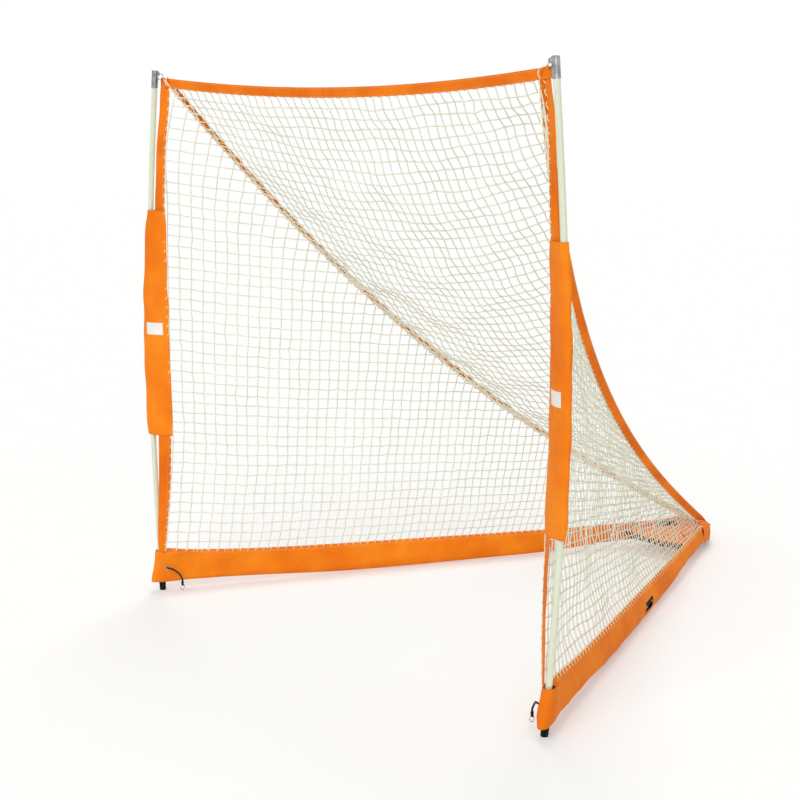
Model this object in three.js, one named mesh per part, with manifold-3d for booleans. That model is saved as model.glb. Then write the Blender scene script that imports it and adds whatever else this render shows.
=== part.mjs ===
// A portable lacrosse goal, in millimetres, +Z up.
// The mouth stands in the plane Y = 0, +X is to the right of someone who faces the mouth,
// and the legs run back along +Y to an apex on the ground.
// One half is modelled on +X. The other is the same half mirrored.
import * as THREE from "three";
import { mergeGeometries, mergeVertices } from "three/addons/utils/BufferGeometryUtils.js";
import Module from "manifold-3d";

// Overall sizes
const FOOT_SPREAD = 1897; // pole axis to pole axis, on the ground
const HINGE_DEPTH = 2096; // goal line to the hinge bolt
const POLE_TALL = 1906; // ground to the top of a pole's cap
const POLE_TOP_IN = 20; // how far a pole's top stands in from its foot
const POLE_BOW = 57; // how far a pole bows out at mid height

// Clearances
const GAP = 0.3; // between pieces that touch
const RUNNING_FIT = 0.4; // round a piece that slides or turns in another
const LACING_EASE = 1.2; // between a tape and the net laced to it
const CLOTH_EASE = 0.8; // between two cloth pieces, end to end
const OVERRUN = 2; // how far a cutting tool runs past what it cuts

// Base legs
const LEG_HEIGHT = 50; // ground to a leg tube's axis
const TUBE_RADIUS = 12.7;
const TUBE_WALL = 1.6;
const HINGE_OFFSET = 20; // leg axis to hinge bolt, so that folded legs lie side by side
const COUPLER_PLACE = 1180; // pole axis to the middle of a coupler, along the leg
const COUPLER_LONG = 150;
const COUPLER_RADIUS = 17;
const JOIN_GAP = 1;

// Snap button, its leaf spring and the coupler's rivet
const BUTTON_RADIUS = 4;
const BUTTON_PROUD = 4.5; // how far it stands out of the coupler
const BUTTON_FLANGE = 6.2;
const BUTTON_FLANGE_THICK = 2;
const BUTTON_AHEAD = 38; // coupler's middle to the button
const SPRING_THICK = 0.9;
const SPRING_WIDE = 8;
const SPRING_LONG = 46;
const RIVET_RADIUS = 2.4;
const RIVET_HEAD = 5;
const RIVET_HEAD_TALL = 2.4;
const RIVET_BEHIND = 45; // coupler's middle to the rivet

// Hinge and rear foot
const EAR_THICK = 6;
const TONGUE_THICK = 16;
const KNUCKLE_RADIUS = 16;
const FORK_LONG = 62; // hinge bolt to the end of the leg tube
const FORK_BLOCK = 20;
const FORK_HALF_WIDE = 13;
const PLUG_LONG = 46;
const BOLT_RADIUS = 4;
const BOLT_HEAD_RADIUS = 7.5;
const BOLT_HEAD_TALL = 5;
const WASHER_RADIUS = 10;
const WASHER_THICK = 1.6;
const REAR_FOOT_RADIUS = 19;
const REAR_FOOT_TOP = 15;
const BOLT_SUNK = 20; // how far the bolt goes into the rear foot

// Front sockets and feet
const SOCKET_FROM = 38;
const SOCKET_TOP = 130;
const SOCKET_WALL = 3.2;
const COLLAR_RADIUS = 15;
const COLLAR_FROM = 18; // pole axis to the collar that the leg tube stops against
const COLLAR_LONG = 12;
const STUB_LONG = 96; // pole axis to the end of the stub inside the leg tube
const FOOT_TAPER = 1.6;
const FOOT_ROUND = 3;
const FOOT_WORN = 1.5; // rubber worn flat at the ground
const FOOT_PLUG_TOP = 58;

// Poles, ferrules and caps
const POLE_RADIUS = 10;
const POLE_JOIN = 1000;
const FERRULE_LONG = 170;
const FERRULE_WALL = 2;
const CAP_LONG = 60;
const CAP_WALL = 1.6;
const CAP_CROWN = 8;
const LUG_THICK = 4;
const LUG_LOW = 10; // cap's top to the lug's hole
const LUG_OUT = 18; // cap's axis to the lug's hole
const LUG_RADIUS = 7.5;
const LINK_HOLE = 4.4;
const LINK_WIRE = 1.5;

// Tapes
const TAPE_THICK = 2.4;
const TOP_TAPE_WIDE = 32;
const TOP_TAPE_DROP = 41; // cap's top to the tape's middle line, at the corners
const TOP_TAPE_SAG = 44;
const TOP_TAPE_BACK = 40; // how far the net draws its middle back
const TOP_TAPE_IN = 16.5; // pole's axis at its top to the tape's end
const TOP_TAPE_SET = 12; // goal line to the tape at the corners
const EYELET_IN = 9; // tape's end to the eyelet that the link goes through
const EYELET_UP = 9;
const MOUTH_TAPE_WIDE = 40;
const MOUTH_TAPE_SET = 20; // goal line to the tape's middle
const MOUTH_TAPE_TURN = 18; // degrees
const MOUTH_TAPE_FROM = 157;
const TAPE_INSET = 50; // most that the tape's middle stands in from the pole's axis
const RIDGE_TAPE_WIDE = 30;
const CORNER_IN = 49; // tape's end to a ridge's start, at the net's top corner
const CORNER_BACK = 22;
const CORNER_DROP = 24;
const RIDGE_END_X = 18; // where a ridge ends, above the hinge
const RIDGE_END_Z = 68;
const RIDGE_SAG_IN = 112;
const RIDGE_SAG_DOWN = 232;
const RIDGE_LEAN_SHARE = 0.323; // how much more a ridge sags towards its top
const RIDGE_TURN = 45; // degrees, between the back net and the side net
const ridgeSpanShares = [0.02, 0.925];
// Height as a share of the pole's, and the mouth tape's inset as a share of the largest inset
const tapeInsetShares = [
  [0.06, 0.18], [0.1, 0.28], [0.14, 0.44], [0.22, 0.8], [0.3, 0.95], [0.42, 1.0],
  [0.54, 1.0], [0.66, 0.8], [0.76, 0.64], [0.87, 0.66], [0.94, 0.78], [0.97, 0.88],
];

// Fabric
const CLOTH_WALL = 1.6;
const SKIRT_HALF_WIDE = 22;
const SKIRT_TOP_HALF = 2.8;
const SKIRT_FROM = 44;
const SKIRT_STOP = 150; // hinge bolt to the skirt's rear end
const SKIRT_TOP_FRONT = 152;
const SKIRT_TOP_REAR = 100;
const SKIRT_LOW_FRONT = 33;
const SKIRT_LOW = 6;
const WINDOW_LONG = 103;
const WINDOW_TALL = 38;
// How the skirt's top and bottom edges come down along the leg
const skirtTopShares = [
  [0, 1], [0.05, 0.84], [0.11, 0.66], [0.21, 0.47], [0.32, 0.35], [0.47, 0.23], [0.64, 0.08],
  [0.75, 0], [1, 0],
];
const skirtLowShares = [[0, 1], [0.1, 0.8], [0.2, 0.45], [0.32, 0.05], [0.6, 0], [1, 0.12]];
const POCKET_TOP = 150;
const POCKET_LOW = 34;
const POCKET_REAR = 34;
const POCKET_HALF_LOW = 26;
const POCKET_HALF_TOP = 16.5;
const POCKET_NOSE_LOW = 33;
const POCKET_NOSE_TOP = 13;
const SLEEVE_LOW = 590;
const SLEEVE_TOP = 1415;
const SLEEVE_HALF_THICK = 17;
const SLEEVE_SLACK_TOP = 8;
const SLEEVE_SLACK_LOW = 12.5;
const SLEEVE_SLACK_MID = 7; // more slack at mid height
const SLEEVE_TAPER = 420; // how far past the sleeve the net keeps clear of it
const BOOT_HALF_WIDE = 29;
const BOOT_TOP = 106;
const BOOT_TOP_AT_HINGE = 84;
const BOOT_LOW = 8;
const BOOT_HUB_RADIUS = 33;
const BOOT_PANEL_AHEAD = 345; // hinge bolt to the panel's front edge
const BOOT_PANEL_HEIGHT = 66;
const BOOT_PANEL_THICK = 3;
const BOOT_SLOT_LONG = 88;
const BOOT_SLOT_TALL = 28;
const BOOT_SLOT_AHEAD = 165;
const BOOT_FOOT_EASE = 6;
const bootMarkShares = [0, 0.5, 0.8, 1]; // stations along each leg's part of the boot

// Nets
const NET_THICK = 3;
const STRAND_WIDE = 7;
const BACK_NET_SAG = 110;
const NET_COLUMNS = 8; // gaps from the mouth to the apex, in every net
const SIDE_ROWS = 6;
const BACK_ROWS = 7;

// Tie-downs
const GROMMET_RADIUS = 8;
const GROMMET_BORE = 3.6;
const GROMMET_THICK = 1.4;
const GROMMET_HEIGHT = 88;
const GROMMET_ALONG = 14;
const CORD_RADIUS = 3;
const CRIMP_RADIUS = 5;
const CRIMP_LONG = 9;
const CRIMP_TAB_LONG = 8;
const CRIMP_TAB_THICK = 4;
const RING_HOLE = 2.2;
const RING_RADIUS = 9.5;
const RING_WIRE = 1.2;
// The cord's route from the grommet: along the leg, in from the pocket's side, and height
const tieCordRoute = [
  [14, -5, 87.1], [14, 0, 88], [14.5, 5, 88.9], [19.5, 12.5, 89], [33, 20.5, 85], [51, 30, 72],
  [60, 37, 58], [63, 40, 50], [63, 40, 43],
];

// Finishes
const finish = (color, roughness, metalness) => ({ color, roughness, metalness });
const STEEL = finish(0x2b2c2e, 0.45, 0.6);
const BRIGHT = finish(0xc9ccd0, 0.22, 1);
const FIBREGLASS = finish(0xdde4cf, 0.35, 0);
const RUBBER = finish(0x17171a, 0.85, 0);
const MOULDED = finish(0x1c1c1e, 0.5, 0);
const WEBBING = finish(0xf58220, 0.8, 0);
const CLOTH = finish(0xf28a2a, 0.85, 0);
const NETTING = finish(0xf3f2e6, 0.8, 0);
const CORDING = finish(0x1d1512, 0.8, 0);

const MERGE_REACH = 2e-3; // vertices nearer than this are one
const SIDES = 12; // facets round a small tube
const ROUND = 20; // facets round a larger turned piece
const degrees = THREE.MathUtils.degToRad;
const lerp = THREE.MathUtils.lerp;
const vec = (x, y, z) => new THREE.Vector3(x, y, z);

// Derived sizes
const footX = FOOT_SPREAD / 2;
const footToHinge = Math.hypot(footX, HINGE_DEPTH);
const legAngle = Math.atan2(footX, HINGE_DEPTH) - Math.asin(HINGE_OFFSET / footToHinge);
const legLength = Math.sqrt(footToHinge ** 2 - HINGE_OFFSET ** 2);
const legAlong = vec(-Math.sin(legAngle), Math.cos(legAngle), 0);
const legOut = vec(Math.cos(legAngle), Math.sin(legAngle), 0);
const tubeBore = TUBE_RADIUS - TUBE_WALL;
const tubeEnd = legLength - FORK_LONG;
const baseTilt = Math.atan((Math.PI * POLE_BOW - POLE_TOP_IN) / POLE_TALL);

// The top tape's ends keep their places beside the caps, and the net's top corners theirs below it.
const topTapeHeight = POLE_TALL - TOP_TAPE_DROP;
const topTapeEnd = footX - POLE_TOP_IN - TOP_TAPE_IN;
const cornerX = topTapeEnd - CORNER_IN;
const cornerY = TOP_TAPE_SET + CORNER_BACK;
const cornerZ = topTapeHeight - CORNER_DROP;

const sideRows = strandMarks(SIDE_ROWS, cornerZ - SKIRT_TOP_FRONT);
const backRows = strandMarks(BACK_ROWS, 2 * cornerX);
const netColumns = strandMarks(NET_COLUMNS, legLength);

const wasm = await Module();
wasm.setup();

// A point beside the right leg: a distance along it, a distance out from it, and a height.
const onLeg = (along, out, height) =>
  vec(footX, 0, height).addScaledVector(legAlong, along).addScaledVector(legOut, out);

// A line through [place, value] pairs, smoothed so that it has no corners.
function smooth(table, place) {
  const last = table.length - 1;
  let k = table.findIndex((row) => row[0] >= place);
  if (k < 0) return table[last][1];
  if (k === 0) return table[0][1];
  const [a, b] = [table[k - 1], table[k]];
  const slope = (p, q) => (q[1] - p[1]) / (q[0] - p[0]);
  const here = slope(a, b);
  const from = k > 1 ? (slope(table[k - 2], a) + here) / 2 : here;
  const to = k < last ? (here + slope(b, table[k + 1])) / 2 : here;
  const width = b[0] - a[0];
  const t = (place - a[0]) / width;
  const rise = t * t * (3 - 2 * t);
  const easeIn = t * (1 - t) ** 2;
  const easeOut = t * t * (t - 1);
  return lerp(a[1], b[1], rise) + width * (from * easeIn + to * easeOut);
}

// A pole bows as a slender column does when its ends are drawn together: half a sine wave.
function poleX(height) {
  const t = height / POLE_TALL;
  return footX - POLE_TOP_IN * t + POLE_BOW * Math.sin(Math.PI * t);
}

class PoleAxis extends THREE.Curve {
  constructor(low, high) {
    super();
    this.low = low;
    this.high = high;
  }
  getPoint(t, target = vec(0, 0, 0)) {
    const height = lerp(this.low, this.high, t);
    return target.set(poleX(height), 0, height);
  }
}

// Turns a closed mesh's faces outwards, if the volume they enclose comes out negative.
function facingOut(geometry) {
  const at = geometry.attributes.position;
  const index = geometry.index;
  const [a, b, c] = [vec(0, 0, 0), vec(0, 0, 0), vec(0, 0, 0)];
  let volume = 0;
  for (let i = 0; i < index.count; i += 3) {
    a.fromBufferAttribute(at, index.getX(i));
    b.fromBufferAttribute(at, index.getX(i + 1));
    c.fromBufferAttribute(at, index.getX(i + 2));
    volume += a.dot(b.cross(c));
  }
  if (volume > 0) return geometry;
  for (let i = 0; i < index.count; i += 3) {
    const kept = index.getX(i);
    index.setX(i, index.getX(i + 1));
    index.setX(i + 1, kept);
  }
  return geometry;
}

// One closed mesh with only positions, its shared vertices merged and its faces pointing out.
function closed(geometry) {
  const bare = geometry.clone();
  bare.deleteAttribute("normal");
  bare.deleteAttribute("uv");
  return facingOut(mergeVertices(bare, MERGE_REACH / 20));
}

function solid(geometry) {
  const mesh = closed(geometry);
  return new wasm.Manifold(
    new wasm.Mesh({
      numProp: 3,
      vertProperties: mesh.attributes.position.array,
      triVerts: new Uint32Array(mesh.index.array),
    }),
  );
}

function surface(manifold) {
  const mesh = manifold.simplify(MERGE_REACH).getMesh();
  const geometry = new THREE.BufferGeometry();
  geometry.setAttribute("position", new THREE.BufferAttribute(mesh.vertProperties, 3));
  geometry.setIndex(new THREE.BufferAttribute(mesh.triVerts, 1));
  return geometry;
}

const joined = (...pieces) => surface(pieces.map(solid).reduce((whole, piece) => whole.add(piece)));
const cut = (body, ...tools) =>
  surface(tools.map(solid).reduce((whole, tool) => whole.subtract(tool), solid(body)));

// A turned piece about the Y axis: its profile is [radius, place] pairs and closes on itself.
function turned(profile, facets = ROUND) {
  const points = profile.map(([radius, place]) => new THREE.Vector2(radius, place));
  if (profile[0][0] > 0) points.push(points[0].clone());
  return closed(new THREE.LatheGeometry(points, facets));
}

const tube = (outer, bore, from, to, facets = ROUND) =>
  turned([[bore, from], [outer, from], [outer, to], [bore, to]], facets);
const rod = (radius, from, to, facets = ROUND) =>
  turned([[0, from], [radius, from], [radius, to], [0, to]], facets);

// A turned piece stood up along Z, or laid along X.
const upright = (geometry) => geometry.rotateX(Math.PI / 2);
const sideways = (geometry) => geometry.rotateZ(-Math.PI / 2);

function prism(shape, from, to, facets = SIDES) {
  const options = { depth: to - from, bevelEnabled: false, curveSegments: facets / 2 };
  return closed(new THREE.ExtrudeGeometry(shape, options).translate(0, 0, from));
}

function block(width, depth, height, x, y, z) {
  return closed(new THREE.BoxGeometry(width, depth, height).translate(x, y, z));
}

// A round bar or tube along a curve.
function swept(curve, radius, bore, steps, facets = SIDES) {
  const section = new THREE.Shape();
  section.absarc(0, 0, radius, 0, 2 * Math.PI, false);
  if (bore) {
    const hole = new THREE.Path();
    hole.absarc(0, 0, bore, 0, 2 * Math.PI, true);
    section.holes.push(hole);
  }
  const options = { steps, extrudePath: curve, curveSegments: facets / 2, bevelEnabled: false };
  return closed(new THREE.ExtrudeGeometry(section, options));
}

function fromLists(points, faces) {
  const geometry = new THREE.BufferGeometry();
  geometry.setAttribute("position", new THREE.Float32BufferAttribute(points.flat(), 3));
  geometry.setIndex(faces.flat());
  return closed(geometry);
}

const quad = (a, b, c, d) => [a, b, c, a, c, d];

// A fabric tube: loops of points, the outer and the inner one at each station.
function fabricTube(outer, inner, stations, around) {
  const points = [];
  const faces = [];
  for (const loop of [outer, inner])
    for (let k = 0; k <= stations; k++)
      for (let j = 0; j < around; j++) points.push(loop(k / stations, j / around).toArray());
  const at = (side, k, j) => (side * (stations + 1) + k) * around + (j % around);
  for (let k = 0; k < stations; k++)
    for (let j = 0; j < around; j++) {
      faces.push(quad(at(0, k, j), at(0, k, j + 1), at(0, k + 1, j + 1), at(0, k + 1, j)));
      faces.push(quad(at(1, k, j), at(1, k + 1, j), at(1, k + 1, j + 1), at(1, k, j + 1)));
    }
  for (let j = 0; j < around; j++) {
    faces.push(quad(at(0, 0, j), at(1, 0, j), at(1, 0, j + 1), at(0, 0, j + 1)));
    faces.push(
      quad(at(0, stations, j), at(0, stations, j + 1), at(1, stations, j + 1), at(1, stations, j)),
    );
  }
  return fromLists(points, faces);
}

// One solid through a loop of points at each mark.
function filledTube(loop, marks, around) {
  const points = [];
  const faces = [];
  const stations = marks.length - 1;
  for (const mark of marks)
    for (let j = 0; j < around; j++) points.push(loop(mark, j / around).toArray());
  const at = (k, j) => k * around + (j % around);
  for (let k = 0; k < stations; k++)
    for (let j = 0; j < around; j++)
      faces.push(quad(at(k, j), at(k, j + 1), at(k + 1, j + 1), at(k + 1, j)));
  for (let j = 1; j < around - 1; j++) {
    faces.push([at(0, 0), at(0, j + 1), at(0, j)]);
    faces.push([at(stations, 0), at(stations, j), at(stations, j + 1)]);
  }
  return fromLists(points, faces);
}

// A band of even thickness with a station at each mark: middle(mark) is its middle line, and
// across(mark) and proud(mark) are unit vectors over its width and through its thickness.
function band(middle, across, proud, width, thickness, marks) {
  const corners = [[-1, -1], [1, -1], [1, 1], [-1, 1]];
  const loop = (t, share) => {
    const [a, b] = corners[Math.round(share * corners.length)];
    return middle(t)
      .addScaledVector(across(t), (a * width) / 2)
      .addScaledVector(proud(t), (b * thickness) / 2);
  };
  return filledTube(loop, marks, corners.length);
}

// The two edges of each strand, as shares of a net that is so many gaps and so many mm across.
function strandMarks(gaps, reach) {
  const half = STRAND_WIDE / reach / 2;
  const marks = [];
  for (let k = 0; k <= gaps; k++) {
    const middle = lerp(half, 1 - half, k / gaps);
    marks.push(middle - half, middle + half);
  }
  return marks;
}

// A net with one square gap per mesh: place(u, v) is a point of it, for u and v from 0 to 1, and
// us and vs are the strands' edges.
function netting(place, us, vs) {
  const points = [];
  const faces = [];
  const probe = 1e-3;
  for (const side of [1, -1])
    for (const u of us)
      for (const v of vs) {
        const here = place(u, v);
        const alongU = place(Math.min(u + probe, 1), v).sub(place(Math.max(u - probe, 0), v));
        const alongV = place(u, Math.min(v + probe, 1)).sub(place(u, Math.max(v - probe, 0)));
        const normal = alongU.cross(alongV).normalize();
        points.push(here.addScaledVector(normal, (side * NET_THICK) / 2).toArray());
      }
  const at = (side, i, j) => (side * us.length + i) * vs.length + j;
  const gap = (i, j) => i % 2 === 1 && j % 2 === 1;
  const inside = (i, j) => i >= 0 && j >= 0 && i < us.length - 1 && j < vs.length - 1 && !gap(i, j);
  for (let i = 0; i < us.length - 1; i++)
    for (let j = 0; j < vs.length - 1; j++) {
      if (gap(i, j)) continue;
      faces.push(quad(at(0, i, j), at(0, i + 1, j), at(0, i + 1, j + 1), at(0, i, j + 1)));
      faces.push(quad(at(1, i, j), at(1, i, j + 1), at(1, i + 1, j + 1), at(1, i + 1, j)));
      const wall = (a, b) => faces.push(quad(at(0, ...b), at(0, ...a), at(1, ...a), at(1, ...b)));
      if (!inside(i - 1, j)) wall([i, j + 1], [i, j]);
      if (!inside(i + 1, j)) wall([i + 1, j], [i + 1, j + 1]);
      if (!inside(i, j - 1)) wall([i, j], [i + 1, j]);
      if (!inside(i, j + 1)) wall([i + 1, j + 1], [i, j + 1]);
    }
  return fromLists(points, faces);
}

const goal = new THREE.Group();

function add(group, name, geometry, look) {
  const mesh = new THREE.Mesh(geometry, new THREE.MeshStandardMaterial({ ...look, name }));
  mesh.name = name;
  group.add(mesh);
  return mesh;
}

// The net's edge curves. A ridge hangs from the top corner to above the hinge.
function ridgeMiddle(t) {
  const hang = 4 * t * (1 - t) * (1 + RIDGE_LEAN_SHARE * (1 - 2 * t));
  return vec(
    lerp(cornerX, RIDGE_END_X, t) - hang * RIDGE_SAG_IN,
    lerp(cornerY, HINGE_DEPTH, t),
    lerp(cornerZ, RIDGE_END_Z, t) - hang * RIDGE_SAG_DOWN,
  );
}

function ridgeAlong(t) {
  const probe = 1e-3;
  return ridgeMiddle(t + probe).sub(ridgeMiddle(t - probe)).normalize();
}

// The ridge tape's width runs from the back net's side, up and in, to the side net's, down and out.
function ridgeAcross(t) {
  const turn = degrees(RIDGE_TURN);
  const lean = vec(Math.cos(turn), 0, -Math.sin(turn));
  const along = ridgeAlong(t);
  return lean.addScaledVector(along, -lean.dot(along)).normalize();
}

const ridgeProud = (t) => ridgeAcross(t).cross(ridgeAlong(t)).normalize();
const ridgeShare = (v) => lerp(ridgeSpanShares[0], ridgeSpanShares[1], v);
const ridgeEdge = (v, side) => {
  const t = ridgeShare(v);
  const reach = RIDGE_TAPE_WIDE / 2 + LACING_EASE + (side < 0 ? GAP : 0);
  return ridgeMiddle(t).addScaledVector(ridgeAcross(t), side * reach);
};

// The mouth tape stands behind and inside the pole.
const tapeX = (height) => poleX(height) - TAPE_INSET * smooth(tapeInsetShares, height / POLE_TALL);
const mouthTapeTop = topTapeHeight - TOP_TAPE_WIDE / 2 - LACING_EASE;
const mouthTapeAcross = vec(
  Math.cos(degrees(MOUTH_TAPE_TURN)), -Math.sin(degrees(MOUTH_TAPE_TURN)), 0,
);
const mouthTapeMiddle = (height) => vec(tapeX(height), MOUTH_TAPE_SET, height);
const mouthTapeEdge = (height, ease) =>
  mouthTapeMiddle(height).addScaledVector(mouthTapeAcross, -(MOUTH_TAPE_WIDE / 2 + ease));

// The skirt's section: a flattened loop round the leg tube, drawn in to a hem at the top.
const skirtEnd = legLength - SKIRT_STOP;
const skirtShare = (along) => (along - SKIRT_FROM) / (skirtEnd - SKIRT_FROM);
const skirtTop = (along) =>
  lerp(SKIRT_TOP_REAR, SKIRT_TOP_FRONT, smooth(skirtTopShares, skirtShare(along)));
const skirtLow = (along) =>
  lerp(SKIRT_LOW, SKIRT_LOW_FRONT, smooth(skirtLowShares, skirtShare(along)));

function clothSection(share, halfWide, topHalf, top, low) {
  const turn = 2 * Math.PI * share;
  const side = Math.sin(turn);
  const rise = -Math.cos(turn);
  if (rise <= 0) return [halfWide * side, LEG_HEIGHT + (LEG_HEIGHT - low) * rise];
  const narrowing = lerp(1, topHalf / halfWide, rise ** 1.5);
  const width = rise > 0.999 ? 0 : Math.sign(side) * halfWide * narrowing;
  return [width * Math.min(1, Math.abs(side) * 4), LEG_HEIGHT + (top - LEG_HEIGHT) * rise];
}

function skirtLoop(inset) {
  return (t, share) => {
    const along = lerp(SKIRT_FROM, skirtEnd, t);
    const [out, height] = clothSection(
      share, SKIRT_HALF_WIDE - inset, SKIRT_TOP_HALF - inset / 2,
      skirtTop(along) - 2 * inset, skirtLow(along) + inset,
    );
    return onLeg(along, out, height);
  };
}

function buildLeg() {
  const leg = new THREE.Group();
  leg.position.x = footX;
  leg.rotation.z = legAngle;
  const couplerFrom = COUPLER_PLACE - COUPLER_LONG / 2;
  const joinFrom = COUPLER_PLACE - JOIN_GAP / 2;
  const joinTo = COUPLER_PLACE + JOIN_GAP / 2;
  const buttonAt = COUPLER_PLACE - BUTTON_AHEAD;
  const rivetAt = COUPLER_PLACE + RIVET_BEHIND;
  const across = (radius, place, from = 0) =>
    sideways(rod(radius, from, COUPLER_RADIUS + OVERRUN)).translate(0, place, 0);
  const buttonTool = across(BUTTON_RADIUS + RUNNING_FIT, buttonAt);
  const rivetTool = across(RIVET_RADIUS + GAP, rivetAt);
  const collarEnd = COLLAR_FROM + COLLAR_LONG;
  add(leg, "front_leg_tube",
    cut(tube(TUBE_RADIUS, tubeBore, collarEnd + GAP, joinFrom), buttonTool), STEEL);
  add(leg, "rear_leg_tube", cut(tube(TUBE_RADIUS, tubeBore, joinTo, tubeEnd), rivetTool), STEEL);
  add(leg, "leg_coupler",
    cut(
      tube(COUPLER_RADIUS, TUBE_RADIUS + RUNNING_FIT, couplerFrom, couplerFrom + COUPLER_LONG),
      buttonTool, rivetTool,
    ), MOULDED);
  const flangeTop = Math.sqrt(tubeBore ** 2 - BUTTON_FLANGE ** 2) - RUNNING_FIT;
  const flangeFrom = flangeTop - BUTTON_FLANGE_THICK;
  const buttonTip = COUPLER_RADIUS + BUTTON_PROUD;
  const domeShare = 0.6;
  add(leg, "snap_button",
    sideways(turned([
      [0, flangeFrom], [BUTTON_FLANGE, flangeFrom], [BUTTON_FLANGE, flangeTop],
      [BUTTON_RADIUS, flangeTop], [BUTTON_RADIUS, buttonTip - BUTTON_RADIUS * (1 - domeShare)],
      [BUTTON_RADIUS * domeShare, buttonTip], [0, buttonTip],
    ])).translate(0, buttonAt, 0), BRIGHT);
  const wallReach = tubeBore * Math.cos(SPRING_WIDE / 2 / tubeBore) - 2 * RUNNING_FIT;
  const springOutline = new THREE.Shape();
  const springTop = flangeFrom - GAP;
  springOutline.moveTo(springTop, buttonAt + SPRING_WIDE / 2);
  springOutline.lineTo(springTop, buttonAt - SPRING_WIDE / 2);
  springOutline.lineTo(0, buttonAt - SPRING_LONG);
  springOutline.lineTo(-wallReach, buttonAt - SPRING_WIDE);
  springOutline.lineTo(-wallReach, buttonAt + SPRING_WIDE / 2);
  springOutline.lineTo(SPRING_THICK - wallReach, buttonAt + SPRING_WIDE / 2);
  springOutline.lineTo(SPRING_THICK - wallReach, buttonAt - SPRING_WIDE);
  springOutline.lineTo(0, buttonAt - SPRING_LONG + 2 * SPRING_THICK + SPRING_WIDE / 2);
  springOutline.lineTo(springTop - SPRING_THICK, buttonAt - SPRING_WIDE / 2);
  springOutline.lineTo(springTop - SPRING_THICK, buttonAt + SPRING_WIDE / 2);
  add(leg, "button_spring", prism(springOutline, -SPRING_WIDE / 2, SPRING_WIDE / 2), BRIGHT);
  const rivetFace = COUPLER_RADIUS + GAP;
  add(leg, "coupler_rivet",
    sideways(turned([
      [0, tubeBore - RIVET_HEAD_TALL], [RIVET_RADIUS, tubeBore - RIVET_HEAD_TALL],
      [RIVET_RADIUS, rivetFace], [RIVET_HEAD, rivetFace],
      [RIVET_HEAD * domeShare, rivetFace + RIVET_HEAD_TALL], [0, rivetFace + RIVET_HEAD_TALL],
    ], SIDES)).translate(0, rivetAt, 0), BRIGHT);
  for (const mesh of leg.children) mesh.position.z = LEG_HEIGHT;
  return leg;
}

// The hinge's parts, in the leg's own frame: the bolt's axis is at (-HINGE_OFFSET, legLength).
function hingeOutline(bolt) {
  const outline = new THREE.Shape();
  const blockEnd = tubeEnd + FORK_BLOCK;
  const outerTurn = degrees(15);
  const innerTurn = degrees(200);
  outline.moveTo(-FORK_HALF_WIDE, tubeEnd + GAP);
  outline.lineTo(FORK_HALF_WIDE, tubeEnd + GAP);
  outline.lineTo(FORK_HALF_WIDE, blockEnd);
  outline.absarc(-HINGE_OFFSET, legLength, KNUCKLE_RADIUS, outerTurn, innerTurn, false);
  outline.lineTo(-FORK_HALF_WIDE - HINGE_OFFSET / 4, blockEnd);
  const hole = new THREE.Path();
  hole.absarc(-HINGE_OFFSET, legLength, bolt, 0, 2 * Math.PI, true);
  outline.holes.push(hole);
  return outline;
}

const tongueHalf = TONGUE_THICK / 2;
const earFrom = tongueHalf + GAP;
const earTo = earFrom + EAR_THICK;

function hingeEnd(ears) {
  const hole = BOLT_RADIUS + RUNNING_FIT;
  const plates = ears.map(([from, to]) => prism(hingeOutline(hole), from, to));
  const root = block(
    2 * FORK_HALF_WIDE, FORK_BLOCK - GAP, 2 * earTo, 0, tubeEnd + (FORK_BLOCK + GAP) / 2, 0,
  );
  const plug = rod(tubeBore - GAP, tubeEnd - PLUG_LONG, tubeEnd + FORK_BLOCK / 2);
  return joined(root, plug, ...plates).translate(0, 0, LEG_HEIGHT);
}

// The front socket: an upright tube that leans with the pole's foot, and a stub into the leg tube.
const socketBore = POLE_RADIUS + RUNNING_FIT;
const socketRadius = socketBore + SOCKET_WALL;

function buildSocket() {
  const lean = (geometry) => upright(geometry).rotateY(baseTilt).translate(footX, 0, 0);
  const lay = (geometry) => geometry.translate(0, 0, LEG_HEIGHT).rotateZ(legAngle).translate(footX, 0, 0);
  const barrel = rod(socketRadius, SOCKET_FROM, SOCKET_TOP);
  const bore = rod(socketBore, SOCKET_FROM - OVERRUN, SOCKET_TOP + OVERRUN);
  const stub = rod(tubeBore - GAP, 0, STUB_LONG);
  const collar = rod(COLLAR_RADIUS, COLLAR_FROM, COLLAR_FROM + COLLAR_LONG);
  return cut(joined(lean(barrel), lay(stub), lay(collar)), lean(bore));
}

function buildFoot() {
  const wide = socketRadius - FOOT_TAPER / 2;
  const low = wide - FOOT_TAPER;
  const rim = SOCKET_FROM - GAP;
  const body = upright(turned([
    [0, -FOOT_WORN], [low - FOOT_ROUND, -FOOT_WORN], [low, FOOT_ROUND - FOOT_WORN],
    [wide, rim], [POLE_RADIUS, rim], [POLE_RADIUS, FOOT_PLUG_TOP], [0, FOOT_PLUG_TOP],
  ])).rotateY(baseTilt).translate(footX, 0, 0);
  const ground = block(FOOT_SPREAD, FOOT_SPREAD, 2 * socketRadius, footX, 0, -socketRadius);
  return cut(body, ground);
}

function buildPole(half) {
  const low = FOOT_PLUG_TOP + JOIN_GAP;
  const high = POLE_TALL - CAP_CROWN - JOIN_GAP;
  const join = JOIN_GAP / 2;
  add(half, "lower_pole", swept(new PoleAxis(low, POLE_JOIN - join), POLE_RADIUS, 0, 9), FIBREGLASS);
  add(half, "upper_pole", swept(new PoleAxis(POLE_JOIN + join, high), POLE_RADIUS, 0, 9), FIBREGLASS);
  const ferrule = new PoleAxis(POLE_JOIN - FERRULE_LONG / 2, POLE_JOIN + FERRULE_LONG / 2);
  const bore = POLE_RADIUS + RUNNING_FIT;
  add(half, "pole_ferrule", swept(ferrule, bore + FERRULE_WALL, bore, 2), BRIGHT);
}

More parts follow.
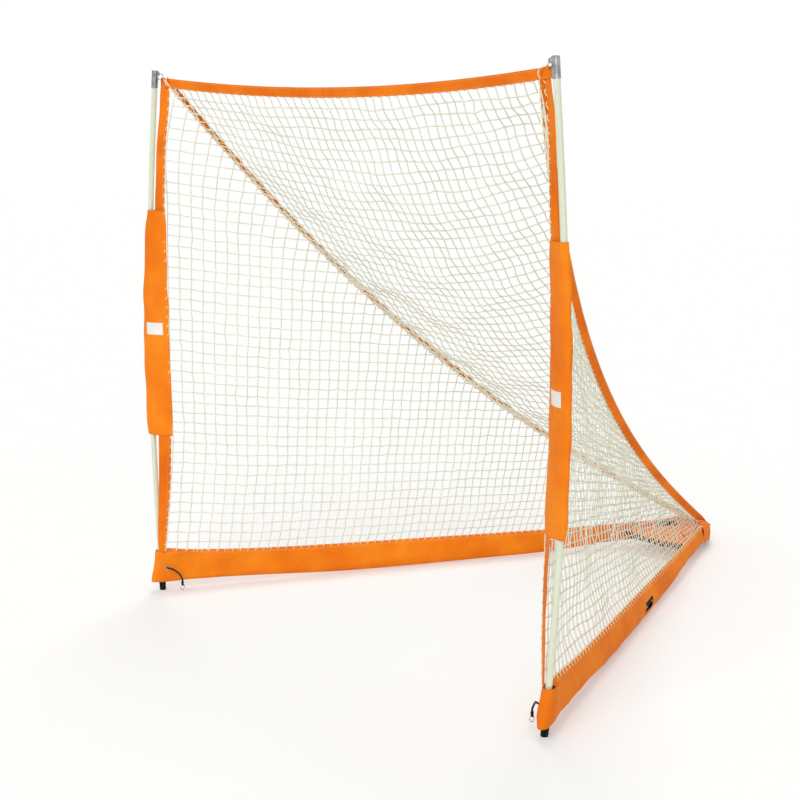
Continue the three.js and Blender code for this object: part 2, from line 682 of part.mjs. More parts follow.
// The cap stands on the pole's top end and leans in with it. Its lug faces the net's corner.
const capTilt = Math.atan((-Math.PI * POLE_BOW - POLE_TOP_IN) / POLE_TALL);
const capFoot = POLE_TALL - CAP_LONG;
const capX = poleX(POLE_TALL - CAP_LONG / 2) - (CAP_LONG / 2) * Math.tan(capTilt);
const capPlace = (geometry) => geometry.rotateY(capTilt).translate(capX, 0, capFoot);
const capBore = POLE_RADIUS + RUNNING_FIT;
const capRadius = capBore + CAP_WALL;
const lugHeight = CAP_LONG - LUG_LOW;

function buildCap() {
  const crown = CAP_LONG - CAP_CROWN;
  const cup = upright(turned([
    [0, CAP_LONG], [capRadius - CAP_WALL, CAP_LONG], [capRadius, CAP_LONG - CAP_WALL],
    [capRadius, 0], [capBore, 0], [capBore, crown], [0, crown],
  ]));
  const lug = new THREE.Shape();
  lug.moveTo(-capBore, lugHeight - LUG_RADIUS);
  lug.lineTo(-capBore, lugHeight + LUG_RADIUS);
  lug.absarc(-LUG_OUT, lugHeight, LUG_RADIUS, Math.PI / 2, (3 * Math.PI) / 2, false);
  const plate = prism(lug, -LUG_THICK / 2, LUG_THICK / 2).rotateX(Math.PI / 2);
  const hole = rod(LINK_HOLE, -LUG_THICK, LUG_THICK, SIDES).translate(-LUG_OUT, 0, lugHeight);
  const bore = upright(rod(capBore, -OVERRUN, crown));
  return capPlace(cut(joined(cup, plate), hole, bore));
}

// The top tape hangs in a shallow curve between the corners, drawn back by the net.
function topTapeMiddle(x) {
  const slack = 1 - (x / topTapeEnd) ** 2;
  return vec(x, TOP_TAPE_SET + TOP_TAPE_BACK * slack, topTapeHeight - TOP_TAPE_SAG * slack);
}

const eyelet = vec(topTapeEnd - EYELET_IN, TOP_TAPE_SET, topTapeHeight + EYELET_UP);

function buildTopTape() {
  const corner = ridgeEdge(0, -1).x;
  const inner = backRows.map((u) => lerp(-corner, corner, u));
  const marks = [-topTapeEnd, ...inner, topTapeEnd];
  const upwards = () => vec(0, 0, 1);
  const backwards = () => vec(0, 1, 0);
  const body = band(topTapeMiddle, upwards, backwards, TOP_TAPE_WIDE, TAPE_THICK, marks);
  const hole = (x) => rod(LINK_HOLE, -TAPE_THICK, TAPE_THICK, SIDES).translate(x, eyelet.y, eyelet.z);
  return cut(body, hole(eyelet.x), hole(-eyelet.x));
}

// A ring through the lug's hole and the tape's eyelet.
function buildLink() {
  const lugHole = vec(-LUG_OUT, 0, lugHeight)
    .applyAxisAngle(vec(0, 1, 0), capTilt)
    .add(vec(capX, 0, capFoot));
  const reach = eyelet.clone().sub(lugHole);
  const along = reach.clone().normalize();
  const beside = vec(0, 1, 0).addScaledVector(along, -along.y).normalize();
  const ring = new THREE.TorusGeometry(reach.length() / 2, LINK_WIRE, 6, SIDES + 4);
  const turn = new THREE.Matrix4().makeBasis(along, beside, along.clone().cross(beside));
  const middle = lugHole.add(eyelet).multiplyScalar(1 / 2);
  return closed(ring.applyMatrix4(turn).translate(middle.x, middle.y, middle.z));
}

function buildMouthTape() {
  const inner = sideRows.map((u) => sideNetPlace(u, 0).z).filter((z) => z > MOUTH_TAPE_FROM);
  const marks = [MOUTH_TAPE_FROM, ...inner, mouthTapeTop].sort((a, b) => a - b);
  const proud = mouthTapeAcross.clone().cross(vec(0, 0, 1)).normalize();
  return band(
    mouthTapeMiddle, () => mouthTapeAcross, () => proud, MOUTH_TAPE_WIDE, TAPE_THICK,
    marks.filter((z) => z <= mouthTapeTop),
  );
}

function buildRidgeTape() {
  return band(
    ridgeMiddle, ridgeAcross, ridgeProud, RIDGE_TAPE_WIDE, TAPE_THICK, netColumns.map(ridgeShare),
  );
}

// The sleeve wraps the pole and the mouth tape's inner edge, with more slack at mid height.
const sleeveSlack = (t) =>
  lerp(SLEEVE_SLACK_LOW, SLEEVE_SLACK_TOP, t) + SLEEVE_SLACK_MID * Math.sin(Math.PI * t);

function sleeveLoop(inset) {
  return (t, share) => {
    const height = lerp(SLEEVE_LOW, SLEEVE_TOP, t);
    const pole = vec(poleX(height), 0, height);
    const tape = mouthTapeEdge(height, 0);
    const away = pole.clone().sub(tape);
    const reach = away.length();
    away.normalize();
    const slack = sleeveSlack(t);
    const half = (reach + POLE_RADIUS) / 2 + slack;
    const middle = tape.addScaledVector(away, (reach + POLE_RADIUS) / 2);
    const through = vec(-away.y, away.x, 0);
    const turn = 2 * Math.PI * share;
    const round = (x) => Math.sign(x) * Math.abs(x) ** (2 / 2.6);
    return middle
      .addScaledVector(away, (half - inset) * round(Math.cos(turn)))
      .addScaledVector(through, (SLEEVE_HALF_THICK - inset) * round(Math.sin(turn)));
  };
}

// The pocket wraps the socket and the pole's foot: flat at the rear, rounded and flared in front.
// It follows the pole up, and its flare leans towards the inside of the goal.
const pocketShare = (height) => (height - POCKET_LOW) / (POCKET_TOP - POCKET_LOW);
const pocketHalf = (height) => lerp(POCKET_HALF_LOW, POCKET_HALF_TOP, pocketShare(height));
const pocketMiddle = (height) => {
  const lean = (poleX(height) - footX) * Math.cos(legAngle);
  return lean - (pocketHalf(height) - POCKET_HALF_TOP) / 2;
};

function pocketLoop(inset) {
  const corners = 8;
  return (t, share) => {
    const height = lerp(POCKET_LOW, POCKET_TOP, t);
    const half = pocketHalf(height) - inset;
    const nose = lerp(POCKET_NOSE_LOW, POCKET_NOSE_TOP, t) - inset;
    const middle = pocketMiddle(height);
    const ahead = (poleX(height) - footX) * Math.sin(legAngle);
    const k = Math.round(share * (corners + 2));
    if (k === corners + 1) return onLeg(POCKET_REAR - inset, middle - half, height);
    if (k === 0) return onLeg(POCKET_REAR - inset, middle + half, height);
    const turn = (Math.PI * (k - 1)) / (corners - 1);
    return onLeg(-ahead - nose * Math.sin(turn), middle + half * Math.cos(turn), height);
  };
}

const toLeg = (geometry) => geometry.rotateZ(legAngle).translate(footX, 0, 0);
const pocketSide = (height) => pocketMiddle(height) - pocketHalf(height);
const grommetFace = pocketSide(GROMMET_HEIGHT);
const grommetLean = Math.atan(
  (pocketSide(GROMMET_HEIGHT + GROMMET_RADIUS) - grommetFace) / GROMMET_RADIUS,
);
const inPocketSide = (geometry) =>
  toLeg(
    sideways(geometry).rotateY(grommetLean).translate(grommetFace, GROMMET_ALONG, GROMMET_HEIGHT),
  );

function buildPocket() {
  const around = 10;
  const shell = fabricTube(pocketLoop(0), pocketLoop(CLOTH_WALL), 3, around);
  const legHole = toLeg(
    rod(TUBE_RADIUS + CLOTH_EASE, 0, POCKET_REAR + OVERRUN).translate(0, 0, LEG_HEIGHT),
  );
  const grommetHole = inPocketSide(
    rod(GROMMET_BORE + GROMMET_THICK + RUNNING_FIT, -OVERRUN, 2 * OVERRUN, SIDES),
  );
  return cut(shell, legHole, grommetHole);
}

function buildGrommet() {
  const outside = -GROMMET_THICK - GAP;
  const inside = CLOTH_WALL + 2 * GAP;
  const barrel = GROMMET_BORE + GROMMET_THICK;
  return inPocketSide(turned([
    [GROMMET_BORE, outside], [GROMMET_RADIUS, outside], [GROMMET_RADIUS, -GAP],
    [barrel, -GAP], [barrel, inside], [GROMMET_BORE, inside],
  ], SIDES));
}

function buildSkirt() {
  const shell = fabricTube(skirtLoop(0), skirtLoop(CLOTH_WALL), 12, SIDES);
  const window = toLeg(
    block(
      SKIRT_HALF_WIDE, WINDOW_LONG, WINDOW_TALL,
      COUPLER_RADIUS + SKIRT_HALF_WIDE / 2, COUPLER_PLACE, LEG_HEIGHT,
    ),
  );
  return cut(shell, window);
}

// The apex boot: a hollow cloth sleeve over each leg's rear end, a round cap over the hinge and a
// triangular panel between the legs. Its legs' sleeves are open to the skirts.
function bootShape(inset, more) {
  const loop = (t, share) => {
    const from = skirtEnd + CLOTH_EASE - more;
    const along = lerp(from, legLength - BOOT_HUB_RADIUS / 2 - inset, t);
    const [out, height] = clothSection(
      share, BOOT_HALF_WIDE - inset, 2 * SKIRT_TOP_HALF - inset / 2,
      lerp(BOOT_TOP, BOOT_TOP_AT_HINGE, t) - inset, BOOT_LOW + inset,
    );
    return onLeg(along, out - (HINGE_OFFSET / 2) * t ** 6, height);
  };
  const right = filledTube(loop, bootMarkShares, SIDES);
  const left = closed(right.clone().applyMatrix4(new THREE.Matrix4().makeScale(-1, 1, 1)));
  const radius = BOOT_HUB_RADIUS - inset;
  const top = BOOT_TOP_AT_HINGE - inset;
  const hub = upright(turned([
    [0, BOOT_LOW + inset], [radius, BOOT_LOW + inset], [radius, top - radius / 3],
    [radius * 0.7, top - radius / 12], [0, top],
  ], SIDES + 2)).translate(0, HINGE_DEPTH, 0);
  return joined(right, left, hub);
}

function buildBoot() {
  const panel = new THREE.Shape();
  const reach = (ahead) => Math.tan(legAngle) * ahead;
  const front = BOOT_PANEL_AHEAD;
  const inner = SKIRT_HALF_WIDE / Math.cos(legAngle) + 2 * CLOTH_EASE - HINGE_OFFSET;
  panel.moveTo(-reach(front) + inner, HINGE_DEPTH - front);
  panel.lineTo(reach(front) - inner, HINGE_DEPTH - front);
  panel.lineTo(reach(BOOT_HUB_RADIUS), HINGE_DEPTH - BOOT_HUB_RADIUS);
  panel.lineTo(-reach(BOOT_HUB_RADIUS), HINGE_DEPTH - BOOT_HUB_RADIUS);
  const sheet = prism(panel, BOOT_PANEL_HEIGHT, BOOT_PANEL_HEIGHT + BOOT_PANEL_THICK);
  const footHole = upright(rod(REAR_FOOT_RADIUS + BOOT_FOOT_EASE, 0, BOOT_LOW + OVERRUN + CLOTH_WALL))
    .translate(0, HINGE_DEPTH, 0);
  const slot = toLeg(
    closed(new THREE.SphereGeometry(1, SIDES - 2, 6)
      .scale(BOOT_HALF_WIDE, BOOT_SLOT_LONG / 2, BOOT_SLOT_TALL / 2)
      .translate(-BOOT_HALF_WIDE, legLength - BOOT_SLOT_AHEAD + BOOT_SLOT_LONG / 2, BOOT_TOP - BOOT_SLOT_TALL)),
  );
  const leftSlot = closed(slot.clone().applyMatrix4(new THREE.Matrix4().makeScale(-1, 1, 1)));
  const hollow = bootShape(CLOTH_WALL, OVERRUN);
  return cut(joined(bootShape(0, 0), sheet), hollow, footHole, slot, leftSlot);
}

// The side net is ruled from the skirt's hem up to the ridge tape. Its front edge follows the mouth
// tape, and goes round the sleeve.
const sideNetFrom = SKIRT_FROM + MOUTH_TAPE_WIDE / 2;
const hemPlace = (along) => onLeg(along, 0, skirtTop(along) + LACING_EASE - GAP);

function mouthEdge(height) {
  const past = Math.max(SLEEVE_LOW - height, height - SLEEVE_TOP, 0) / SLEEVE_TAPER;
  const share = THREE.MathUtils.clamp((height - SLEEVE_LOW) / (SLEEVE_TOP - SLEEVE_LOW), 0, 1);
  const room = THREE.MathUtils.smoothstep(1 - past, 0, 1) * (sleeveSlack(share) + CLOTH_WALL);
  return mouthTapeEdge(height, LACING_EASE + GAP + room);
}

function sideNetPlace(u, v) {
  const point = hemPlace(lerp(sideNetFrom, skirtEnd, v)).lerp(ridgeEdge(v, 1), u);
  const start = hemPlace(sideNetFrom).lerp(ridgeEdge(0, 1), u);
  const pull = (1 - v) ** 3 * (1 - u ** 8);
  return point.addScaledVector(mouthEdge(start.z).sub(start), pull);
}

// The back net hangs between the ridges and from the top tape.
function backNetPlace(u, v) {
  const right = ridgeEdge(v, -1);
  const first = ridgeEdge(0, -1);
  const point = right.clone().setX(-right.x).lerp(right, u);
  const belly = 4 * u * (1 - u) * Math.sin(Math.PI * v);
  point.z -= BACK_NET_SAG * belly * (right.x / first.x);
  const start = vec(lerp(-first.x, first.x, u), first.y, first.z);
  const hem = topTapeMiddle(start.x);
  hem.z -= TOP_TAPE_WIDE / 2 + LACING_EASE;
  return point.addScaledVector(hem.sub(start), (1 - v) ** 6);
}

function buildTieDown(half) {
  const stops = tieCordRoute.map(([along, inward, z]) => onLeg(along, grommetFace - inward, z));
  const route = new THREE.CatmullRomCurve3(stops);
  add(half, "tie_cord", swept(route, CORD_RADIUS, 0, 14, 10), CORDING);
  const { x, y, z: end } = stops[stops.length - 1];
  const top = end - GAP;
  const low = top - CRIMP_LONG;
  const tabLow = low - CRIMP_TAB_LONG;
  const barrel = upright(turned([
    [0, top], [CRIMP_RADIUS - 1, top], [CRIMP_RADIUS, top - 1],
    [CRIMP_RADIUS, low + 1], [CRIMP_RADIUS - 1, low], [0, low],
  ], SIDES)).translate(x, y, 0);
  const tab = block(2 * CRIMP_RADIUS - 1, CRIMP_TAB_THICK, CRIMP_TAB_LONG + 1, x, y,
    (low + tabLow + 1) / 2);
  const holeHeight = tabLow + CRIMP_TAB_LONG / 2;
  const hole = rod(RING_HOLE, -CRIMP_RADIUS, CRIMP_RADIUS, SIDES).translate(x, y, holeHeight);
  add(half, "tie_crimp", cut(joined(barrel, tab), hole), MOULDED);
  const ring = new THREE.TorusGeometry(RING_RADIUS, RING_WIRE, 6, 18).rotateY(Math.PI / 2);
  add(half, "tie_ring", closed(ring.translate(x, y, holeHeight - RING_RADIUS)), BRIGHT);
}

function buildHalf(side) {
  const half = new THREE.Group();
  half.add(buildLeg());
  add(half, "corner_socket", buildSocket(), STEEL);
  add(half, "front_foot", buildFoot(), RUBBER);
  buildPole(half);
  add(half, "pole_cap", buildCap(), BRIGHT);
  add(half, "corner_link", buildLink(), BRIGHT);
  add(half, "mouth_tape", buildMouthTape(), WEBBING);
  add(half, "ridge_tape", buildRidgeTape(), WEBBING);
  add(half, "pole_sleeve",
    fabricTube(sleeveLoop(0), sleeveLoop(CLOTH_WALL), 7, SIDES), CLOTH);
  add(half, "corner_pocket", buildPocket(), CLOTH);
  add(half, "tie_grommet", buildGrommet(), BRIGHT);
  add(half, "leg_skirt", buildSkirt(), CLOTH);
  add(half, "side_net", netting(sideNetPlace, sideRows, netColumns), NETTING);
  buildTieDown(half);
  half.traverse((mesh) => {
    if (mesh.isMesh) mesh.name = `${side}_${mesh.name}`;
  });
  return half;
}

const rightHalf = buildHalf("right");
const leftHalf = buildHalf("left");
leftHalf.scale.x = -1;
add(rightHalf, "hinge_tongue", toLeg(hingeEnd([[-tongueHalf, tongueHalf]])), STEEL);
add(leftHalf, "hinge_yoke", toLeg(hingeEnd([[earFrom, earTo], [-earTo, -earFrom]])), STEEL);

const hinge = new THREE.Group();
hinge.position.y = HINGE_DEPTH;
const earTop = LEG_HEIGHT + earTo;
const earLow = LEG_HEIGHT - earTo;
const washerFrom = earTop + GAP;
const headFrom = washerFrom + WASHER_THICK + GAP;
const boltEnd = earLow - BOLT_SUNK;
add(hinge, "hinge_washer",
  upright(tube(WASHER_RADIUS, BOLT_RADIUS + RUNNING_FIT, washerFrom, washerFrom + WASHER_THICK)),
  BRIGHT);
const hexagon = 6;
add(hinge, "hinge_bolt",
  joined(
    upright(rod(BOLT_RADIUS, boltEnd, headFrom + GAP)),
    upright(rod(BOLT_HEAD_RADIUS, headFrom, headFrom + BOLT_HEAD_TALL, hexagon)),
  ), BRIGHT);
const rearFootTop = earLow - GAP;
add(hinge, "rear_foot",
  upright(turned([
    [0, 0], [REAR_FOOT_RADIUS - FOOT_ROUND, 0], [REAR_FOOT_RADIUS, FOOT_ROUND],
    [REAR_FOOT_RADIUS, FOOT_ROUND + OVERRUN], [REAR_FOOT_TOP, rearFootTop],
    [BOLT_RADIUS + GAP, rearFootTop], [BOLT_RADIUS + GAP, boltEnd - OVERRUN],
    [0, boltEnd - OVERRUN],
  ])), RUBBER);

goal.add(leftHalf, rightHalf, hinge);
add(goal, "top_tape", buildTopTape(), WEBBING);
add(goal, "apex_boot", buildBoot(), CLOTH);
add(goal, "back_net", netting(backNetPlace, backRows, netColumns), NETTING);

// The origin is the middle of the goal's footprint, on the ground.
goal.updateMatrixWorld(true);
const bounds = new THREE.Box3();
goal.traverse((mesh) => {
  if (mesh.isMesh && !mesh.name.includes("_tie_c") && !mesh.name.includes("_tie_r"))
    bounds.expandByObject(mesh, true);
});
const middle = bounds.getCenter(vec(0, 0, 0));
goal.position.set(-middle.x, -middle.y, -bounds.min.z);

export default goal;
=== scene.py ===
"""Looks of a portable lacrosse goal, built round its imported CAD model.

Shapes are worked out in millimetres in the goal's own frame, as in the CAD source: the mouth stands
in the plane y = 0, +X is to the right of someone who faces the mouth, and +Z is up. The right half
is worked out and the left half is the same half mirrored. Meshes are put into the row frame, in
metres.
"""

import logging
import math
from collections.abc import Sequence
from dataclasses import dataclass, field
from enum import Enum

import bpy
import numpy as np
from mathutils import Matrix, Vector

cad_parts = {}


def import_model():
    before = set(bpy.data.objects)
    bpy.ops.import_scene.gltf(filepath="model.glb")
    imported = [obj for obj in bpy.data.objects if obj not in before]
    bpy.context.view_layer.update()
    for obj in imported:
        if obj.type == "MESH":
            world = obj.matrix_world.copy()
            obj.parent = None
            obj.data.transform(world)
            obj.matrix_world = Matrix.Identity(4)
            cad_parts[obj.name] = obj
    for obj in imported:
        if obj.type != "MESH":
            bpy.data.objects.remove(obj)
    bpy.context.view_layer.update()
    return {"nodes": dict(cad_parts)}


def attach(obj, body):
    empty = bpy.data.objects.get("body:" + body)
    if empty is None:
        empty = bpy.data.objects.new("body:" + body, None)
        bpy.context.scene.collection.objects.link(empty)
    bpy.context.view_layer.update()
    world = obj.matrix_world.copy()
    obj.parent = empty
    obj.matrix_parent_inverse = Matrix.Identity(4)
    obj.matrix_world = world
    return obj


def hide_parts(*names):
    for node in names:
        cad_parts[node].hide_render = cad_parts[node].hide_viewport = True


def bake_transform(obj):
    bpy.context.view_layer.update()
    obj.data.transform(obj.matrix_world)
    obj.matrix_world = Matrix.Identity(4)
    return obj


Array = np.ndarray
Table = Sequence[tuple[float, float]]
LOG = logging.getLogger("goal")
GOAL_LINE = 1047.657356  # millimetres from the row frame's origin forward to the mouth
MM = 0.001
UP = np.array([0.0, 0.0, 1.0])
WHITE = (1, 1, 1, 1)


class Side(Enum):
    """The two halves of the goal, by the sign of their X."""

    LEFT = -1
    RIGHT = 1

    @property
    def body(self) -> str:
        """Name of the CAD body that this half's pieces ride on."""
        return self.name.lower()


# ---------------------------------------------------------------- small maths


def lerp(a: float | Array, b: float | Array, t: float | Array) -> float | Array:
    """a at t = 0, b at t = 1, and the straight line between them."""
    return a + (b - a) * t


def vec(x: float | Array, y: float | Array, z: float | Array) -> Array:
    """Points from their three coordinates, each a number or an array."""
    return np.stack(np.broadcast_arrays(*(np.asarray(c, float) for c in (x, y, z))), axis=-1)


def unit(v: Array) -> Array:
    """Each vector divided by its length."""
    return v / np.maximum(np.linalg.norm(v, axis=-1, keepdims=True), 1e-12)


def ease(t: Array) -> Array:
    """0 below 0, 1 above 1, and 3 t^2 - 2 t^3 between."""
    t = np.clip(t, 0, 1)
    return t * t * (3 - 2 * t)


def smooth(table: Table, place: float | Array) -> Array:
    """Value of a smoothed table.

    Between two rows it is a cubic Hermite curve whose slope at a row is the mean of the slopes
    beside it. The first and last values hold outside the table.

    Args:
        table: rows of place and value, in order of place.
        place: where the value is wanted.

    Returns:
        The value at each place.
    """
    x, y = np.array(table, float).T
    slope = np.diff(y) / np.diff(x)
    at = np.concatenate([slope[:1], (slope[1:] + slope[:-1]) / 2, slope[-1:]])
    place = np.clip(np.asarray(place, float), x[0], x[-1])
    k = np.clip(np.searchsorted(x, place) - 1, 0, len(x) - 2)
    width = x[k + 1] - x[k]
    t = (place - x[k]) / width
    bend = width * (at[k] * t * (1 - t) ** 2 + at[k + 1] * t * t * (t - 1))
    return lerp(y[k], y[k + 1], t * t * (3 - 2 * t)) + bend


def ripple(a: Array, b: Array, seed: int) -> Array:
    """A smooth wandering height, from about -1 to 1.

    It is the mean of a few sines of a and b whose directions and phases come from the seed.

    Args:
        a: first coordinate, in wavelengths of about 1.
        b: second coordinate, in the same unit.
        seed: which of the patterns.

    Returns:
        The height at each place.
    """
    waves = 5
    turn, phase, pace = np.random.default_rng(seed).uniform(0, 2 * np.pi, (3, waves))
    pace = 0.6 + pace / np.pi / 2
    total = sum(
        np.sin(2 * np.pi * p * (a * math.cos(t) + b * math.sin(t)) + f)
        for t, f, p in zip(turn, phase, pace)
    )
    return total / math.sqrt(waves)


def distances(points: Array) -> Array:
    """Length along a polyline up to each of its points."""
    return np.insert(np.cumsum(np.linalg.norm(np.diff(points, axis=0), axis=1)), 0, 0)


def resampled(points: Array, step: float) -> tuple[Array, Array]:
    """A polyline's points at equal distances along it.

    Args:
        points: the polyline.
        step: about how far apart the new points are, in millimetres.

    Returns:
        The new points, and each one's share of the old points' count.
    """
    far = distances(points)
    at = np.linspace(0, far[-1], max(3, int(round(far[-1] / step)) + 1))
    new = np.stack([np.interp(at, far, points[:, k]) for k in range(3)], axis=1)
    return new, np.interp(at, far, np.linspace(0, 1, len(points)))


def tangents(points: Array) -> Array:
    """Direction of a polyline at each of its points, by central differences."""
    return unit(np.gradient(points, axis=0))


def numbered(rows: Array, columns: Array) -> list[Array]:
    """Row numbers and column numbers at each place of a grid."""
    return np.meshgrid(rows, columns, indexing="ij")


# ---------------------------------------------------------------- mesh building


@dataclass
class Patch:
    """Part of a mesh: points in millimetres, faces by point number, and each face corner's UV."""

    points: Array
    faces: list[Array]
    corners: list[Array]

    def turned_over(self, scale: Sequence[float] = (1, 1, 1)) -> "Patch":
        """The same patch with its points scaled and its faces pointing the other way."""
        faces, corners = ([a[:, ::-1] for a in part] for part in (self.faces, self.corners))
        return Patch(self.points * scale, faces, corners)

    def mirrored(self) -> "Patch":
        """The same patch on the goal's left half, its faces still pointing outwards."""
        return self.turned_over((-1, 1, 1))


def grid(points: Array, uv: Array, around: bool = False, hole: Array | None = None) -> Patch:
    """A surface from a grid of points.

    Each cell of the grid is one face, whose outside is on the side of (next row) x (next column).

    Args:
        points: the surface at [row, column]. With around, the last column repeats the first.
        uv: the same grid's UV, in metres.
        around: the columns close on themselves.
        hole: which cells are left out.

    Returns:
        The patch.
    """
    rows, columns = points.shape[:2]
    kept = columns - 1 if around else columns
    index = np.arange(rows * kept).reshape(rows, kept)[:, np.arange(columns) % kept]
    keep = np.ones((rows - 1, columns - 1), bool) if hole is None else ~hole

    def cells(a: Array) -> Array:
        """The four corners of each cell that is kept."""
        return np.stack([a[:-1, :-1], a[1:, :-1], a[1:, 1:], a[:-1, 1:]], axis=2)[keep]

    return Patch(points[:, :kept].reshape(-1, 3), [cells(index)], [cells(uv)])


def measured(points: Array) -> Array:
    """UV of a grid of points, in metres: along its middle, and across from its first column.

    Args:
        points: the surface at [row, column].

    Returns:
        The UV at each point.
    """
    far = distances(points[:, points.shape[1] // 2])
    wide = np.linalg.norm(np.diff(points, axis=1), axis=2)
    across = np.concatenate([np.zeros((len(points), 1)), np.cumsum(wide, axis=1)], axis=1)
    return np.stack([np.broadcast_to(far[:, None], across.shape), across], axis=2) * MM


def tubes(path: Array, strand: Array, radius: Array, facing: Array, sides: int = 6) -> Patch:
    """Round cords along many paths at once.

    A ring stands at each point: centre + radius (cos a * beside + sin a * over), where beside is
    facing x direction and over is direction x beside. Flat faces close both ends of each cord.

    Args:
        path: the points of all the cords, one cord after another.
        strand: the number of the cord that each point belongs to.
        radius: the cord's radius at each point.
        facing: a direction at each point that isn't the cord's own.
        sides: corners of a ring.

    Returns:
        The patch. Its UV is metres along the cord, and the share of a turn round it.
    """
    count = len(path)
    here = np.arange(count)
    joined = strand[1:] == strand[:-1]
    after = np.append(np.where(joined, here[1:], here[:-1]), count - 1)
    before = np.insert(np.where(joined, here[:-1], here[1:]), 0, 0)
    along = unit(path[after] - path[before])
    beside = unit(np.cross(facing, along))
    over = np.cross(along, beside)
    turn = 2 * np.pi * np.arange(sides) / sides
    spread = beside[:, None] * np.cos(turn)[:, None] + over[:, None] * np.sin(turn)[:, None]
    points = (path[:, None] + np.asarray(radius)[:, None, None] * spread).reshape(-1, 3)
    step = np.where(joined, np.linalg.norm(np.diff(path, axis=0), axis=1), 17.0)
    far = np.insert(np.cumsum(step), 0, 0) * MM
    a = np.flatnonzero(joined)[:, None]
    k = np.arange(sides)[None]
    near, next_k = a * sides + k, (k + 1) % sides
    quads = np.stack([near, a * sides + next_k, (a + 1) * sides + next_k, near + sides], axis=2)
    low, high = np.broadcast_arrays(far[a], k / sides)[0], far[a + 1] + 0 * k
    share = np.stack([k + 0 * a, k + 1 + 0 * a, k + 1 + 0 * a, k + 0 * a], axis=2) / sides
    length = np.stack([low, low, high, high], axis=2)
    starts = np.flatnonzero(np.insert(~joined, 0, True))[:, None] * sides + np.arange(sides)[::-1]
    ends = np.flatnonzero(np.append(~joined, True))[:, None] * sides + np.arange(sides)
    caps = np.concatenate([starts, ends])
    cap_uv = np.zeros((len(caps), sides, 2))
    cap_uv[..., 0] = far[caps // sides]
    return Patch(
        points,
        [quads.reshape(-1, 4), caps],
        [np.stack([length, share], axis=3).reshape(-1, 4, 2), cap_uv],
    )


def cord_tube(path: Array, radius: float | Array, facing: Array, sides: int = 8) -> Patch:
    """One round cord along one path. See tubes.

    Args:
        path: the cord's points.
        radius: its radius, one for all or one at each point.
        facing: a direction that isn't the cord's own, one for all or one at each point.
        sides: corners of a ring.

    Returns:
        The patch.
    """
    count = len(path)
    wide = np.broadcast_to(np.asarray(radius, float), (count,))
    return tubes(path, np.zeros(count, int), wide, np.broadcast_to(facing, (count, 3)), sides)


def build(
    name: str,
    patches: Sequence[Patch],
    material: bpy.types.Material,
    side: Side | None = None,
    stands_for: str = "",
    wall: float = 0,
    out: float = 0,
) -> bpy.types.Object:
    """Makes one Blender piece from patches, hides the CAD node that it stands for, and puts it on
    its half's body.

    Args:
        name: the piece's name, without its side.
        patches: what it is made of, in the goal's frame, as on the right half.
        material: its finish.
        side: the half that it is put on and rides with, or None if it belongs to both.
        stands_for: the CAD node that it replaces, without its side, if there is one.
        wall: thickness in millimetres that Solidify gives a single layer, or 0.
        out: Solidify's offset, from -1, all inwards, to 1, all outwards.

    Returns:
        The object, at the origin of the row frame, in metres.
    """
    start, loops, sizes, uvs, points = 0, [], [], [], []
    for patch in patches:
        if side is Side.LEFT:
            patch = patch.mirrored()
        points.append(patch.points)
        for faces, corners in zip(patch.faces, patch.corners):
            loops.append((faces + start).ravel())
            sizes.append(np.full(len(faces), faces.shape[1]))
            uvs.append(corners.reshape(-1, 2))
        start += len(patch.points)
    placed = (np.concatenate(points) - [0, GOAL_LINE, 0]) * MM
    loop, size = np.concatenate(loops), np.concatenate(sizes)
    prefix = f"{side.body}_" if side else ""
    mesh = bpy.data.meshes.new(prefix + name)
    mesh.vertices.add(len(placed))
    mesh.vertices.foreach_set("co", placed.astype(np.float32).ravel())
    mesh.loops.add(len(loop))
    mesh.loops.foreach_set("vertex_index", loop.astype(np.int32))
    mesh.polygons.add(len(size))
    mesh.polygons.foreach_set("loop_start", np.insert(np.cumsum(size), 0, 0)[:-1].astype(np.int32))
    mesh.polygons.foreach_set("use_smooth", np.ones(len(size), bool))
    mesh.update(calc_edges=True)
    layer = mesh.uv_layers.new(name="UVMap")
    layer.data.foreach_set("uv", np.concatenate(uvs).astype(np.float32).ravel())
    mesh.materials.append(material)
    piece = bpy.data.objects.new(prefix + name, mesh)
    bpy.context.scene.collection.objects.link(piece)
    if wall:
        solid = piece.modifiers.new("wall", "SOLIDIFY")
        solid.thickness, solid.offset = wall * MM, out
        solid.use_even_offset = solid.use_quality_normals = True
    if stands_for:
        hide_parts(prefix + stands_for)
    if side:
        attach(piece, side.body)
    return piece


def cloth_area(patch: Patch) -> float:
    """Area of a single-layer patch, in square metres: the sum of its faces' two halves.

    Args:
        patch: the layer, with four corners to each face.

    Returns:
        The area.
    """
    p = patch.points[patch.faces[0]] * MM
    halves = [np.cross(p[:, k] - p[:, 0], p[:, k + 1] - p[:, 0]) for k in (1, 2)]
    return float(np.linalg.norm(halves, axis=2).sum() / 2)


# ---------------------------------------------------------------- finishes


def colour(red: int, green: int, blue: int) -> tuple[float, float, float, float]:
    """A screen colour from 0 to 255 as the linear colour that a shader takes.

    Args:
        red: its red.
        green: its green.
        blue: its blue.

    Returns:
        Red, green, blue, and an alpha of 1.
    """
    c = np.array([red, green, blue]) / 255
    linear = np.where(c <= 0.04045, c / 12.92, ((c + 0.055) / 1.055) ** 2.4)
    return (*(float(x) for x in linear), 1.0)


